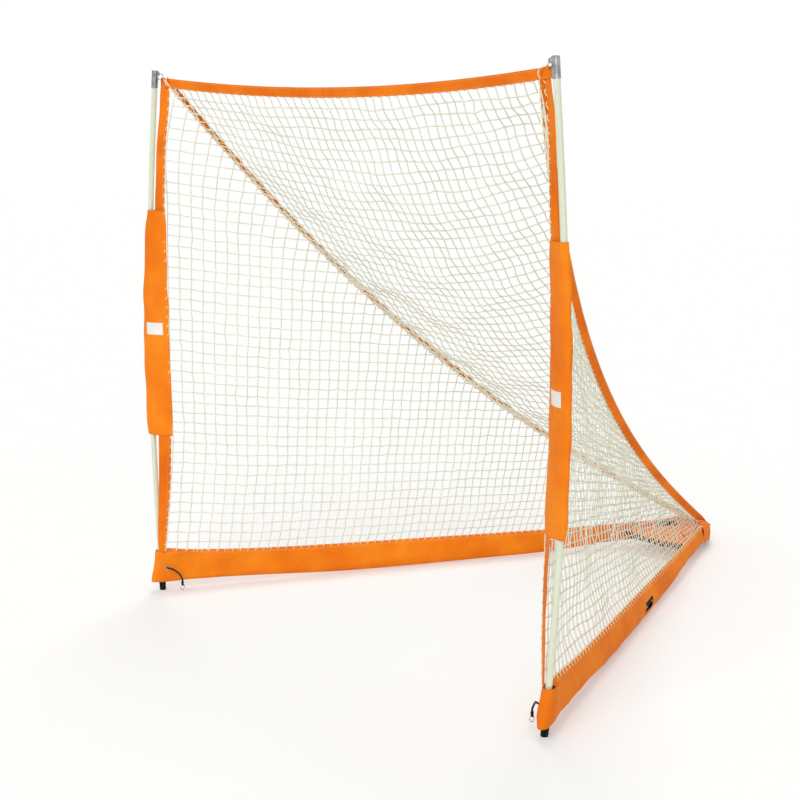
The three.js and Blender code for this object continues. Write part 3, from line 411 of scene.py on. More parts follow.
class Nodes:
    """A node tree in the making, and short ways to add to it."""

    def __init__(self, tree: bpy.types.NodeTree) -> None:
        """Starts with an empty tree."""
        self.tree = tree
        tree.nodes.clear()

    def node(
        self, kind: str, inputs: dict[str | int, object] | None = None, **settings: object
    ) -> bpy.types.Node:
        """Adds a node.

        Args:
            kind: the node's Blender type.
            inputs: for each input, a number, a colour or the socket that feeds it.
            settings: the node's own properties.

        Returns:
            The node.
        """
        made = self.tree.nodes.new(kind)
        for key, value in settings.items():
            setattr(made, key, value)
        for key, value in (inputs or {}).items():
            self.feed(made.inputs[key], value)
        return made

    def feed(self, socket: bpy.types.NodeSocket, value: object) -> None:
        """Sets a socket, or links what feeds it.

        Args:
            socket: an input.
            value: a number, a colour, or the output that feeds it.
        """
        if isinstance(value, bpy.types.NodeSocket):
            self.tree.links.new(value, socket)
        else:
            socket.default_value = value

    def sum(self, kind: str, a: object, b: object = 0.0) -> bpy.types.NodeSocket:
        """One Math node's result."""
        return self.node("ShaderNodeMath", {0: a, 1: b}, operation=kind).outputs[0]

    def times(self, a: object, b: object) -> bpy.types.NodeSocket:
        """The product of two values."""
        return self.sum("MULTIPLY", a, b)

    def seen(self) -> bpy.types.NodeSocket:
        """1 for camera, mirrored and transmitted rays, and 0 for those that light things.

        Returns:
            The value.
        """
        path = self.node("ShaderNodeLightPath").outputs
        mirrored = self.sum("MAXIMUM", path["Is Glossy Ray"], path["Is Transmission Ray"])
        return self.sum("MAXIMUM", path["Is Camera Ray"], mirrored)

    def blended(self, share: object, a: object, b: object) -> bpy.types.NodeSocket:
        """Shader a where share is 0 and b where it is 1."""
        return self.node("ShaderNodeMixShader", {0: share, 1: a, 2: b}).outputs[0]


class Recipe(Nodes):
    """A node material in the making: a Principled shader and patterns that feed it."""

    def __init__(self, name: str) -> None:
        """Starts the material under its name.

        Args:
            name: the material's name.
        """
        self.material = bpy.data.materials.new(name)
        self.material.use_nodes = True
        super().__init__(self.material.node_tree)
        self.shader = self.node("ShaderNodeBsdfPrincipled")
        self.output = self.node("ShaderNodeOutputMaterial", {"Surface": self.shader.outputs[0]})
        self.object_place = self.node("ShaderNodeTexCoord").outputs["Object"]

    def surface(self) -> Sequence[bpy.types.NodeSocket]:
        """The two values of the UV, which is in metres on cloth."""
        place = self.node("ShaderNodeTexCoord").outputs["UV"]
        return self.node("ShaderNodeSeparateXYZ", {"Vector": place}).outputs[:2]

    def set(self, **values: object) -> None:
        """Sets or links the shader's own sockets, named with _ for a space."""
        for key, value in values.items():
            self.feed(self.shader.inputs[key.replace("_", " ")], value)

    def wave(self, phase: object) -> bpy.types.NodeSocket:
        """Sine of 2 pi times the phase, from 0 to 1."""
        turn = self.sum("SINE", self.times(phase, 2 * math.pi))
        return self.sum("ADD", self.times(turn, 0.5), 0.5)

    def noise(
        self, scale: float, detail: float, stretch: Sequence[float] | None = None
    ) -> bpy.types.NodeSocket:
        """Noise in object coordinates, scale features to a metre, stretched as asked.

        Args:
            scale: features to a metre.
            detail: how many finer layers it has.
            stretch: factors on the three coordinates, or None.

        Returns:
            The noise, from 0 to 1.
        """
        vector = self.object_place
        if stretch:
            vector = self.node("ShaderNodeMapping", {"Vector": vector, "Scale": stretch}).outputs[0]
        inputs = {"Vector": vector, "Scale": scale, "Detail": detail}
        return self.node("ShaderNodeTexNoise", inputs).outputs["Fac"]

    def spread(
        self, value: object, low: float, high: float, to_low: float = 0, to_high: float = 1
    ) -> bpy.types.NodeSocket:
        """A value's range mapped to another and clamped there."""
        ends = {"From Min": low, "From Max": high, "To Min": to_low, "To Max": to_high}
        return self.node("ShaderNodeMapRange", {"Value": value, **ends}).outputs[0]

    def mix(self, share: object, a: object, b: object) -> bpy.types.NodeSocket:
        """Colour a where share is 0 and b where it is 1."""
        return self.node("ShaderNodeMix", {0: share, 6: a, 7: b}, data_type="RGBA").outputs[2]

    def bump(
        self, height: object, distance: float, strength: float, under: object = None
    ) -> bpy.types.NodeSocket:
        """A bump normal from a height, over another normal if one is given.

        Args:
            height: the height, in units of the distance.
            distance: how far a height of 1 stands out, in metres.
            strength: how much of it shows, from 0 to 1.
            under: the other normal, or None.

        Returns:
            The normal.
        """
        inputs = {"Height": height, "Distance": distance, "Strength": strength}
        if under is not None:
            inputs["Normal"] = under
        return self.node("ShaderNodeBump", inputs).outputs[0]


@dataclass(frozen=True)
class WovenFinish:
    """Woven cloth or webbing: a weave, soft creases, colour that wanders, and rows of stitches."""

    name: str
    light: tuple[float, float, float, float]
    dark: tuple[float, float, float, float]
    thread: float = 0.9  # millimetres from thread to thread
    ribbed: bool = False  # chevron ribs, as on webbing, in place of a plain weave
    crease: float = 0.6  # depth of the soft creases, in millimetres
    stitches: tuple[float, ...] = ()  # millimetres across at which stitches run
    middle: float = 0.0  # millimetres across from which the distance across is counted
    stitch: float = 4.2  # length of a stitch and its gap, in millimetres
    stitch_half: float = 0.55  # half a stitch's width

    def material(self) -> bpy.types.Material:
        """Makes the material. The weave's height is one sine along times one sine across.

        Returns:
            The material.
        """
        r = Recipe(self.name)
        u, v = r.surface()
        per_metre = 1 / (self.thread * MM)
        across = r.sum("ABSOLUTE", r.sum("SUBTRACT", v, self.middle * MM))
        along = r.times(u, per_metre)
        over = r.times(across, per_metre)
        if self.ribbed:
            weave = r.wave(r.sum("ADD", r.times(along, 0.5), over))
            weave = r.times(weave, r.wave(r.times(over, 0.25)))
        else:
            weave = r.times(r.wave(along), r.wave(over))
        wander = r.spread(r.noise(7, 4), 0.35, 0.65)
        grime = r.spread(r.noise(34, 5), 0.52, 0.72, 0, 0.5)
        base = r.mix(wander, self.dark, self.light)
        base = r.mix(r.times(weave, 0.16), base, self.dark)
        base = r.mix(r.times(grime, 0.35), base, self.dark)
        height = weave
        if self.stitches:
            dash = r.sum("GREATER_THAN", r.wave(r.times(u, 1 / (self.stitch * MM))), 0.35)
            rows = 0.0
            for at in self.stitches:
                inputs = {0: across, 1: at * MM, 2: self.stitch_half * MM}
                row = r.node("ShaderNodeMath", inputs, operation="COMPARE").outputs[0]
                rows = r.sum("MAXIMUM", row, rows)
            stitch = r.times(rows, dash)
            base = r.mix(r.times(stitch, 0.75), base, colour(255, 190, 120))
            height = r.sum("ADD", weave, r.times(stitch, 1.5))
        creased = r.bump(r.noise(26, 4), self.crease * MM * 3, 0.5)
        r.set(
            Base_Color=base,
            Roughness=r.spread(r.noise(60, 2), 0.3, 0.7, 0.66, 0.84),
            Sheen_Weight=0.02,
            Specular_IOR_Level=0.12,
            Normal=r.bump(height, 0.25 * MM, 0.6, creased),
        )
        return r.material


@dataclass(frozen=True)
class CordFinish:
    """Twisted or braided cord: a helix of bright strands over grooves darkened as painted shade."""

    name: str
    light: tuple[float, float, float, float]
    dark: tuple[float, float, float, float]
    lay: float = 9.0  # millimetres along for one turn of the twist
    strands: int = 3
    braided: bool = False
    depth: float = 0.4  # millimetres

    def material(self) -> bpy.types.Material:
        """Makes the material. The groove is a sine of length / lay + strands times the turn.

        Returns:
            The material.
        """
        r = Recipe(self.name)
        u, v = r.surface()
        along = r.times(u, 1 / (self.lay * MM))
        round_it = r.times(v, float(self.strands))
        twist = r.wave(r.sum("ADD", along, round_it))
        if self.braided:
            twist = r.sum("MAXIMUM", twist, r.wave(r.sum("SUBTRACT", along, round_it)))
        wander = r.spread(r.noise(9, 3), 0.35, 0.65, 0, 0.5)
        # Painted shade: the grooves between strands take the dark colour, and the strands' crowns
        # take the light one.
        base = r.mix(r.spread(twist, 0.05, 0.6), self.dark, self.light)
        base = r.mix(wander, base, self.dark)
        r.set(
            Base_Color=base,
            Roughness=r.spread(r.noise(80, 2), 0.3, 0.7, 0.7, 0.88),
            Sheen_Weight=0.1,
            Specular_IOR_Level=0.25,
            Normal=r.bump(twist, self.depth * MM, 0.7),
        )
        return r.material


@dataclass(frozen=True)
class RodFinish:
    """Pale fibreglass: fine glass threads that run along the pole under a clear skin."""

    name: str = "fibreglass_rod"
    light: tuple[float, float, float, float] = colour(232, 236, 214)
    dark: tuple[float, float, float, float] = colour(202, 208, 180)

    def material(self) -> bpy.types.Material:
        """Makes the material. Its threads are noise squeezed along the pole.

        Returns:
            The material.
        """
        r = Recipe(self.name)
        threads = r.noise(900, 3, (1, 1, 0.012))
        cloud = r.spread(r.noise(5, 3), 0.35, 0.65)
        base = r.mix(r.spread(threads, 0.3, 0.7), self.dark, self.light)
        base = r.mix(r.times(cloud, 0.25), base, self.dark)
        r.set(
            Base_Color=base,
            Roughness=r.spread(r.noise(120, 3, (1, 1, 0.1)), 0.3, 0.7, 0.28, 0.46),
            Coat_Weight=0.25,
            Coat_Roughness=0.2,
            Specular_IOR_Level=0.45,
            Normal=r.bump(threads, 0.05 * MM, 0.35),
        )
        return r.material


@dataclass(frozen=True)
class MetalFinish:
    """Plated or painted metal with fine scratches and duller patches."""

    name: str
    light: tuple[float, float, float, float]
    dark: tuple[float, float, float, float]
    metal: float = 1.0
    low: float = 0.18
    high: float = 0.38

    def material(self) -> bpy.types.Material:
        """Makes the material. Scratches are noise squeezed sideways, patches are soft noise.

        Returns:
            The material.
        """
        r = Recipe(self.name)
        scratch = r.noise(1400, 2, (1, 1, 0.05))
        patch = r.spread(r.noise(70, 4), 0.4, 0.65)
        r.set(
            Base_Color=r.mix(r.times(patch, 0.7), self.light, self.dark),
            Metallic=self.metal,
            Roughness=r.spread(patch, 0, 1, self.low, self.high),
            Normal=r.bump(scratch, 0.03 * MM, 0.3),
        )
        return r.material


@dataclass(frozen=True)
class MouldedFinish:
    """Moulded rubber or plastic: a fine grain, dust in it and scuffs."""

    name: str
    light: tuple[float, float, float, float]
    dark: tuple[float, float, float, float]
    low: float = 0.6
    high: float = 0.85
    grain: float = 0.12

    def material(self) -> bpy.types.Material:
        """Makes the material. The grain is fine noise and the dust coarse noise.

        Returns:
            The material.
        """
        r = Recipe(self.name)
        grain = r.noise(1500, 2)
        dust = r.spread(r.noise(90, 5), 0.5, 0.75)
        r.set(
            Base_Color=r.mix(dust, self.dark, self.light),
            Roughness=r.spread(dust, 0, 1, self.low, self.high),
            Specular_IOR_Level=0.18,
            Normal=r.bump(grain, self.grain * MM, 0.5),
        )
        return r.material


ORANGE, BURNT = colour(243, 128, 20), colour(224, 106, 12)
CREAM, CREAM_SHADE = colour(248, 248, 230), colour(212, 212, 190)
CLOTH, CLOTH_SHADE = colour(250, 140, 26), colour(236, 118, 14)
LACE, LACE_SHADE = colour(255, 247, 206), colour(228, 208, 150)
FINISHES = {
    "webbing": WovenFinish("webbing_tape", ORANGE, BURNT, 1.5, True, 0.5, (12.5,), 15),
    "wide_webbing": WovenFinish("webbing_wide", ORANGE, BURNT, 1.5, True, 0.6, (16.5,), 20),
    "cloth": WovenFinish("orange_cloth", CLOTH, CLOTH_SHADE, 0.8, False, 1.2, (9, 13)),
    # Painted shade: the apex panel's lip is a dark cloth that stands for the shadowed hollow under
    # the panel's front edge.
    "binding": WovenFinish("painted_shade_lip_cloth", colour(120, 46, 14), colour(70, 24, 8), 1.0, True, 0.3),
    "patch": WovenFinish(
        "white_patch", colour(244, 243, 238), colour(226, 224, 215), 0.6, False, 0.3, (3,)
    ),
    "netting": CordFinish("net_twine", CREAM, CREAM_SHADE, 7.0, 2),
    "lacing": CordFinish("lacing_cord", LACE, LACE_SHADE, 6.0, 2, True),
    "cording": CordFinish("tie_rope", colour(52, 40, 34), colour(12, 9, 8), 9.0, 8, True, 0.5),
    "rod": RodFinish(),
    "steel": MetalFinish("painted_steel", colour(46, 47, 49), colour(28, 28, 30), 0.6, 0.35, 0.6),
    "bright": MetalFinish(
        "bright_plate", colour(166, 168, 170), colour(96, 98, 101), 1.0, 0.14, 0.3
    ),
    "rubber": MouldedFinish("black_rubber", colour(30, 29, 28), colour(9, 9, 10), 0.7, 0.9, 0.2),
    "moulded": MouldedFinish("black_plastic", colour(40, 40, 42), colour(18, 18, 20), 0.4, 0.6),
}
Looks = dict[str, bpy.types.Material]


# ---------------------------------------------------------------- the goal's shape


@dataclass(frozen=True)
class GoalShape:
    """The sizes of the goal in millimetres and the curves that its pieces follow, right half."""

    foot_x: float = 948.5
    depth: float = 2096.0
    hinge_offset: float = 20.0
    leg_height: float = 50.0
    pole_tall: float = 1906.0
    pole_top_in: float = 20.0
    pole_bow: float = 57.0
    pole_radius: float = 10.0
    tape_height: float = 1865.0
    tape_end: float = 912.0
    tape_wide: float = 32.0
    mouth_from: float = 143.0
    mouth_to: float = 1847.5
    sleeve_from: float = 590.0
    sleeve_to: float = 1415.0
    pocket_low: float = 34.0
    pocket_high: float = 150.0
    corner: tuple[float, float, float] = (863.0, 34.0, 1841.0)
    ridge_end: tuple[float, float, float] = (18.0, 2096.0, 68.0)
    ridge_wide: float = 30.0
    ridge_lace: float = 15.5  # from a ridge tape's middle to its laced edge
    net_from: float = 64.0  # where the side net begins, along the leg
    skirt_from: float = 44.0
    skirt_stop: float = 150.0
    boot_crest: Table = ((0, 103), (0.3, 109), (0.65, 95), (1, 78))
    inset_shares: Table = (
        (0.06, 0.18), (0.1, 0.28), (0.14, 0.44), (0.22, 0.8), (0.3, 0.95), (0.42, 1.0),
        (0.54, 1.0), (0.66, 0.8), (0.76, 0.64), (0.87, 0.66), (0.94, 0.78), (0.97, 0.88),
    )  # fmt: skip
    mouth_in: Table = (
        (143, 16), (160, 18.5), (230, 27), (330, 40), (450, 50), (600, 56), (800, 55), (1000, 53),
        (1200, 47), (1415, 41), (1500, 40), (1650, 37), (1770, 40), (1848, 44),
    )  # fmt: skip
    mouth_back: Table = (
        (143, -4), (230, -2), (400, 6), (600, 12), (1000, 14), (1415, 10), (1650, 12), (1770, 16),
        (1848, 14),
    )  # fmt: skip
    mouth_turn: Table = (
        (143, 38), (560, 37), (1000, 26), (1415, 18), (1500, 17), (1650, 19), (1780, 22),
        (1848, 22),
    )  # fmt: skip
    mouth_half: Table = ((143, 10.5), (175, 14.5), (240, 18), (1848, 18))
    pocket_in: Table = ((34, 19), (60, 24.5), (78, 25.3), (98, 22.9), (150, 18.5))
    pocket_out: Table = ((34, 15.5), (60, 20), (90, 19.8), (150, 18))
    ridge_tail: Sequence[tuple[float, float, float, float]] = (
        (0.9854, 22, 2066, 93), (1.0, 13.5, 2094, 81), (1.0095, 13, 2108, 73.5),
        (1.0175, 13, 2115.5, 64.5),
    )  # fmt: skip
    belly: Table = ((0, 0), (0.04, 30), (0.1, 80), (0.2, 130), (0.4, 135), (0.7, 90), (1, 0))
    skirt_top_shares: Table = (
        (0, 1), (0.05, 0.84), (0.11, 0.66), (0.21, 0.47), (0.32, 0.35), (0.47, 0.23),
        (0.64, 0.08), (0.75, 0), (1, 0),
    )  # fmt: skip
    skirt_low_shares: Table = (
        (0, 1), (0.1, 0.8), (0.2, 0.45), (0.32, 0.05), (0.6, 0), (0.74, 0.1), (0.86, 0.7),
        (1, 0.85),
    )  # fmt: skip

    @property
    def leg_angle(self) -> float:
        """Angle of a leg from +Y, so that the leg's axis passes beside the hinge bolt."""
        reach = math.hypot(self.foot_x, self.depth)
        return math.atan2(self.foot_x, self.depth) - math.asin(self.hinge_offset / reach)

    @property
    def leg_length(self) -> float:
        """Pole axis to hinge bolt, along the leg."""
        return math.sqrt(self.foot_x**2 + self.depth**2 - self.hinge_offset**2)

    @property
    def skirt_end(self) -> float:
        """Where a skirt ends and the boot begins, along the leg."""
        return self.leg_length - self.skirt_stop

    @property
    def leg_out(self) -> Array:
        """Direction out from the right leg, level and square to it."""
        return self.on_leg(0, 1, 0) - self.on_leg(0, 0, 0)

    def on_leg(self, along: Array, out: Array, height: Array) -> Array:
        """Points beside the right leg: along it, out from it, and up.

        Args:
            along: distance along the leg from the pole's axis.
            out: distance out from the leg's axis.
            height: height above the ground.

        Returns:
            A point for each place.
        """
        s, c = math.sin(self.leg_angle), math.cos(self.leg_angle)
        along, out = np.asarray(along, float), np.asarray(out, float)
        return vec(self.foot_x - along * s + out * c, along * c + out * s, height)

    def pole_x(self, height: Array) -> Array:
        """A pole's X: half a sine wave of bow on a line that leans in."""
        t = np.asarray(height, float) / self.pole_tall
        return self.foot_x - self.pole_top_in * t + self.pole_bow * np.sin(np.pi * t)

    def mouth_across(self, height: Array) -> Array:
        """Direction of the mouth tape's width: it turns from the mouth's plane as it goes down."""
        turn = np.radians(smooth(self.mouth_turn, height))
        return vec(np.cos(turn), -np.sin(turn), 0)

    def mouth_middle(self, height: Array) -> Array:
        """The mouth tape's middle line, inside the pole and behind it."""
        inset, back = smooth(self.mouth_in, height), smooth(self.mouth_back, height)
        return vec(self.pole_x(height) - inset, back, height)

    def mouth_edge(self, height: Array, ease_by: float = 0) -> Array:
        """The mouth tape's inner edge, or further in by ease_by."""
        reach = smooth(self.mouth_half, height)[..., None] + ease_by
        return self.mouth_middle(height) - self.mouth_across(height) * reach

    def sleeve_edge(self, height: Array, ease_by: float | Array = 0) -> Array:
        """The line that the sleeve wraps on its inner side, or further in by ease_by.

        Args:
            height: heights on the line.
            ease_by: how much further in.

        Returns:
            A point for each place.
        """
        inset = 50 * smooth(self.inset_shares, np.asarray(height, float) / self.pole_tall)
        across = np.array([math.cos(math.radians(18)), -math.sin(math.radians(18)), 0])
        reach = np.expand_dims(20 + np.asarray(ease_by, float), -1)
        return vec(self.pole_x(height) - inset, 20, height) - across * reach

    def top_middle(self, x: Array) -> Array:
        """The top tape's middle line: a parabola that hangs down and back."""
        slack = 1 - (np.asarray(x, float) / self.tape_end) ** 2
        return vec(x, 12 + 40 * slack, self.tape_height - 44 * slack)

    def ridge_hung(self, s: Array) -> Array:
        """A ridge tape's middle: from corner to apex, sagging in and down, more at its top.

        Args:
            s: share of the way down.

        Returns:
            A point for each place.
        """
        hang = 4 * s * (1 - s) * (1 + 0.323 * (1 - 2 * s))
        a, b = self.corner, self.ridge_end
        x = lerp(a[0], b[0], s) - 112 * hang
        return vec(x, lerp(a[1], b[1], s), lerp(a[2], b[2], s) - 232 * hang)

    def ridge(self, t: Array) -> Array:
        """The hung line, and past t = 0.952 a smooth table's curve down over the boot.

        Args:
            t: share of the way down, past 1 behind the apex.

        Returns:
            A point for each place.
        """
        t = np.asarray(t, float)
        start = [(s, *self.ridge_hung(np.array(s))) for s in (0.94, 0.952, 0.964)]
        table = np.array([*start, *self.ridge_tail])
        tail = np.stack([smooth(table[:, (0, k)], t) for k in (1, 2, 3)], axis=-1)
        return np.where(t[..., None] < 0.952, self.ridge_hung(t), tail)

    def ridge_along(self, t: Array) -> Array:
        """A ridge's direction, towards the apex."""
        return unit(self.ridge(np.asarray(t) + 1e-3) - self.ridge(np.asarray(t) - 1e-3))

    def ridge_across(self, t: Array) -> Array:
        """Direction of a ridge tape's width: out from the nets' edge, and flat over the boot.

        Args:
            t: share of the way down.

        Returns:
            A direction for each place, square to the tape.
        """
        flat = ease((np.asarray(t, float) - 0.95) / 0.04)[..., None]
        lean = lerp(np.array([0.4, 0.8, 0.45]), np.array([1.0, 0.1, -0.3]), flat)
        along = self.ridge_along(t)
        return unit(lean - along * (along * lean).sum(axis=-1, keepdims=True))

    def ridge_proud(self, t: Array) -> Array:
        """Normal of a ridge tape's laced face, which looks up and in."""
        return unit(np.cross(self.ridge_across(t), self.ridge_along(t)))

    def ridge_share(self, v: Array) -> Array:
        """How far down a ridge a net's share v of its length comes."""
        return 0.004 + 0.925 * np.asarray(v, float)

    def ridge_edge(self, v: Array, side: int) -> Array:
        """The ridge tape's edge that the side net (1) or the back net (-1) is laced to.

        Args:
            v: share of the net's length.
            side: 1 for the side net, -1 for the back net.

        Returns:
            A point for each place.
        """
        t = self.ridge_share(v)
        edge = self.ridge(t) - self.ridge_across(t) * self.ridge_lace
        return edge - self.ridge_proud(t) * side * 1.5

    def skirt_share(self, along: Array) -> Array:
        """Share of the skirt's length."""
        return (np.asarray(along, float) - self.skirt_from) / (self.skirt_end - self.skirt_from)

    def skirt_top(self, along: Array) -> Array:
        """Height of the skirt's hem, or of the boot's top past the skirt's end.

        Args:
            along: distance along the leg.

        Returns:
            The height at each place.
        """
        top = lerp(100, 152, smooth(self.skirt_top_shares, self.skirt_share(along)))
        past = (np.asarray(along, float) - self.skirt_end) / self.skirt_stop
        boot = smooth(self.boot_crest, past) + 4.5
        return np.where(past > 0, boot, top)

    def skirt_low(self, along: Array) -> Array:
        """Height of the skirt's lower edge."""
        return lerp(6, 33, smooth(self.skirt_low_shares, self.skirt_share(along)))

    def hem(self, along: Array) -> Array:
        """The line on the skirt's top that a side net is laced to."""
        return self.on_leg(along, 0, self.skirt_top(along) + 0.9)

    def pole_lean(self, height: Array) -> Array:
        """How far a pole has moved out from its foot."""
        return self.pole_x(height) - self.foot_x

    def sleeve_share(self, height: Array) -> Array:
        """Share of the sleeve's height."""
        return (height - self.sleeve_from) / (self.sleeve_to - self.sleeve_from)

    def sleeve_slack(self, t: Array) -> Array:
        """How far the sleeve stands off what it wraps: a line plus half a sine wave."""
        return lerp(12.5, 8, t) + 7 * np.sin(np.pi * t)

    def sleeve_trim(self, t: Array) -> Array:
        """How much less the sleeve stands off on its inner side: half a sine wave."""
        return 10 * np.sin(np.pi * np.clip(t, 0, 1))

    def net_front(self, height: Array) -> Array:
        """A side net's front edge: the mouth tape's edge, kept clear of the sleeve.

        Args:
            height: heights on the edge.

        Returns:
            A point for each place.
        """
        past = np.maximum(np.maximum(self.sleeve_from - height, height - self.sleeve_to), 0)
        share = np.clip(self.sleeve_share(height), 0, 1)
        slack = self.sleeve_slack(share) - self.sleeve_trim(share) + 1.6
        clear = self.sleeve_edge(height, 1.5 + ease(1 - past / 420) * slack)
        return lerp(clear, self.mouth_edge(height, 1.5), ease(past / 200)[..., None])

    def side_net(self, u: Array, v: Array) -> Array:
        """The side net: ruled from the skirt's hem (u = 0) up to the ridge (u = 1).

        Its front is drawn to the mouth tape by (1 - v)^3 (1 - u^24). It hangs inwards just over the
        hem, by 1 - e^(-rise / 60).

        Args:
            u: share of the way up.
            v: share of the net's length, from its front.

        Returns:
            A point for each place.
        """
        u, v = (np.asarray(c, float)[..., None] for c in np.broadcast_arrays(u, v))
        hem = self.hem(lerp(self.net_from, self.skirt_end, v[..., 0]))
        point = lerp(hem, self.ridge_edge(v[..., 0], 1), u)
        start = lerp(self.hem(np.array(self.net_from)), self.ridge_edge(np.array(0.0), 1), u)
        pull = (1 - np.minimum(v, 1)) ** 3 * (1 - u**24)
        point = point + (self.net_front(start[..., 2]) - start) * pull
        rise = (point - hem)[..., 2:]
        belly = (1 - np.exp(-np.maximum(rise, 0) / 60)) * (1 - u**2) * ease(v * 5) * 24
        return point - self.leg_out * belly

    def back_net(self, u: Array, v: Array) -> Array:
        """The back net: a parabola between the ridges, drawn to the top tape by (1 - v)^6.

        Args:
            u: share of the way across, from the left.
            v: share of the way down.

        Returns:
            A point for each place.
        """
        u, v = (np.asarray(c, float)[..., None] for c in np.broadcast_arrays(u, v))
        right, first = self.ridge_edge(v[..., 0], -1), self.ridge_edge(np.array(0.0), -1)
        point = lerp(right * [-1, 1, 1], right, u)
        belly = 4 * u * (1 - u) * smooth(self.belly, v) * (right[..., :1] / first[0])
        point = point - vec(0, 0, 1) * belly
        x = lerp(-first[0], first[0], u[..., 0])
        start = vec(x, first[1], first[2])
        top = self.top_middle(x) - [0, 0, self.tape_wide / 2 + 1.2]
        return point + (top - start) * (1 - np.minimum(v, 1)) ** 6


SHAPE = GoalShape()


# ---------------------------------------------------------------- netting


@dataclass
class Netting:
    """Square-mesh netting: two families of twine knotted where they cross."""

    mesh: float = 38.0
    radius: float = 2.1
    knot: float = 3.1
    drawn: float = 0.35  # share by which twine is drawn thinner by the apex
    sides: int = 5
    slack: float = 2.8  # how far knots wander, in millimetres
    sag: float = 2.4  # how far twine hangs between knots
    stops: tuple[float, ...] = (0.0, 0.12, 0.5, 0.88)  # points of a twine from knot to knot

    def numbers(self, count: float) -> Array:
        """Numbers of a twine's points, a knot at each whole number, up to count."""
        each = np.arange(int(count) + 1)[:, None] + np.array(self.stops)
        return each.ravel()[each.ravel() <= count + 1e-9]

    def moved(self, points: Array, r: Array, c: Array, fade: Array, out: Array, seed: int) -> Array:
        """Points of a smooth net moved as knots wander and slack passes along it in waves.

        Args:
            points: the smooth net at each row and column number.
            r: row numbers.
            c: column numbers.
            fade: share of the move that each point takes.
            out: direction of the waves.
            seed: which of the patterns.

        Returns:
            The moved points. Between knots, a move is the smoothed mean of the four round it.
        """
        moves = np.random.default_rng(seed).normal(0, self.slack / 2, (160, 160, 3))
        r0, c0 = np.floor(r).astype(int), np.floor(c).astype(int)
        fr, fc = ease(r - r0)[..., None], ease(c - c0)[..., None]
        near = lerp(moves[r0, c0], moves[r0 + 1, c0], fr)
        far = lerp(moves[r0, c0 + 1], moves[r0 + 1, c0 + 1], fr)
        wave = ripple(r / 7, c / 9, seed + 1)[..., None] * out * self.slack * 1.8
        return points + (lerp(near, far, fc) + wave) * fade[..., None]

    def twine(self, points: Array, keep: Array, knots: Array, out: Array) -> Patch:
        """One family of twine.

        Args:
            points: places at [twine, number].
            keep: which of them are in the net.
            knots: which of them are knots.
            out: a direction off the net.

        Returns:
            The patch, thicker at the knots, with the twine hanging between them.
        """
        knots = np.broadcast_to(knots, keep.shape)
        line = np.broadcast_to(np.arange(len(points))[:, None], keep.shape)
        use = keep & (keep.sum(axis=1)[:, None] > 1)
        hang = np.where(knots, 0.0, -self.sag)[..., None] * UP
        radius = np.where(knots, self.knot, self.radius)
        radius = radius * (1 - self.drawn * ease((points[..., 1] - 1200) / 700))
        count = int(use.sum())
        facing = np.broadcast_to(out, (count, 3))
        return tubes((points + hang)[use], line[use], radius[use], facing, self.sides)


def ends_at(keep: Array, axis: int = 1) -> Array:
    """The first place of each line past those kept.

    Args:
        keep: which places are kept.
        axis: the direction that lines run in.

    Returns:
        True at those places.
    """
    before = np.roll(keep, 1, axis=axis)
    np.moveaxis(before, axis, 0)[0] = False
    return before & ~keep


@dataclass
class SideNet:
    """One side net, from the skirt up to the ridge, and the mouth tape back to the apex."""

    netting: Netting = field(default_factory=Netting)
    drop: float = 0.75  # how much nearer the hem a row comes by the apex, as a share
    gather: float = 0.1  # how much closer each column stands than the last, in millimetres
    far: float = 2244.0  # where the net ends, along the leg

    def patches(self) -> list[Patch]:
        """Both families of twine.

        Column c stands mesh c - gather c^2 past the net's start along the leg. Row r is
        mesh r (1 - drop v) above the hem, where v is the column's share of the skirt, and ends
        where it meets the ridge.

        Returns:
            The twine that stands, and the twine that lies across it.
        """
        net, mesh, begin, out = self.netting, self.netting.mesh, SHAPE.net_from, SHAPE.leg_out
        length = SHAPE.skirt_end - begin
        room = mesh**2 - 4 * self.gather * (self.far - begin)
        last = (mesh - math.sqrt(room)) / (2 * self.gather)

        def share(c: Array) -> Array:
            """Share of the skirt's length at which column c stands."""
            return (mesh * c - self.gather * c**2) / length

        def tall(c: Array) -> Array:
            """How many rows column c has.

            Args:
                c: column numbers.

            Returns:
                The count for each.
            """
            v = share(c)
            hem = SHAPE.hem(begin + v * length)[..., 2]
            rise = np.maximum(SHAPE.ridge_edge(v, 1)[..., 2] - hem, 1)
            return rise / (mesh * (1 - self.drop * v))

        def place(r: Array, c: Array) -> Array:
            """Points at rows r and columns c.

            Args:
                r: row numbers.
                c: column numbers.

            Returns:
                The points.
            """
            u = np.clip(r / tall(c), 0, 1)
            room = np.minimum(u, 1 - u) * tall(c) * mesh
            fade = ease(room / 70) * ease(share(c) * length / 50)
            return net.moved(SHAPE.side_net(u, share(c)), r, c, fade, out, 11)

        front = float(tall(np.array(0.0)))
        r, c = numbered(net.numbers(front + 2), np.arange(0, int(last) + 1))
        top = tall(c)
        keep = r < top - 0.15
        end = ends_at(keep, 0)
        up = place(np.where(end, top, r), c)
        knots = (r % 1 == 0) & ~end
        standing = net.twine(np.swapaxes(up, 0, 1), (keep | end).T, knots.T, out)
        r, c = numbered(np.arange(1, int(front) + 1), net.numbers(last))
        over = tall(c) - r
        keep = over > 0
        end = ends_at(keep)
        before, c_before = np.roll(over, 1, axis=1), np.roll(c, 1, axis=1)
        gap = np.where(end, before / np.maximum(before - over, 1e-9), 0)
        across = place(r, np.where(end, c_before + (c - c_before) * gap, c))
        return [standing, net.twine(across, keep | end, (c % 1 == 0) & ~end, out)]


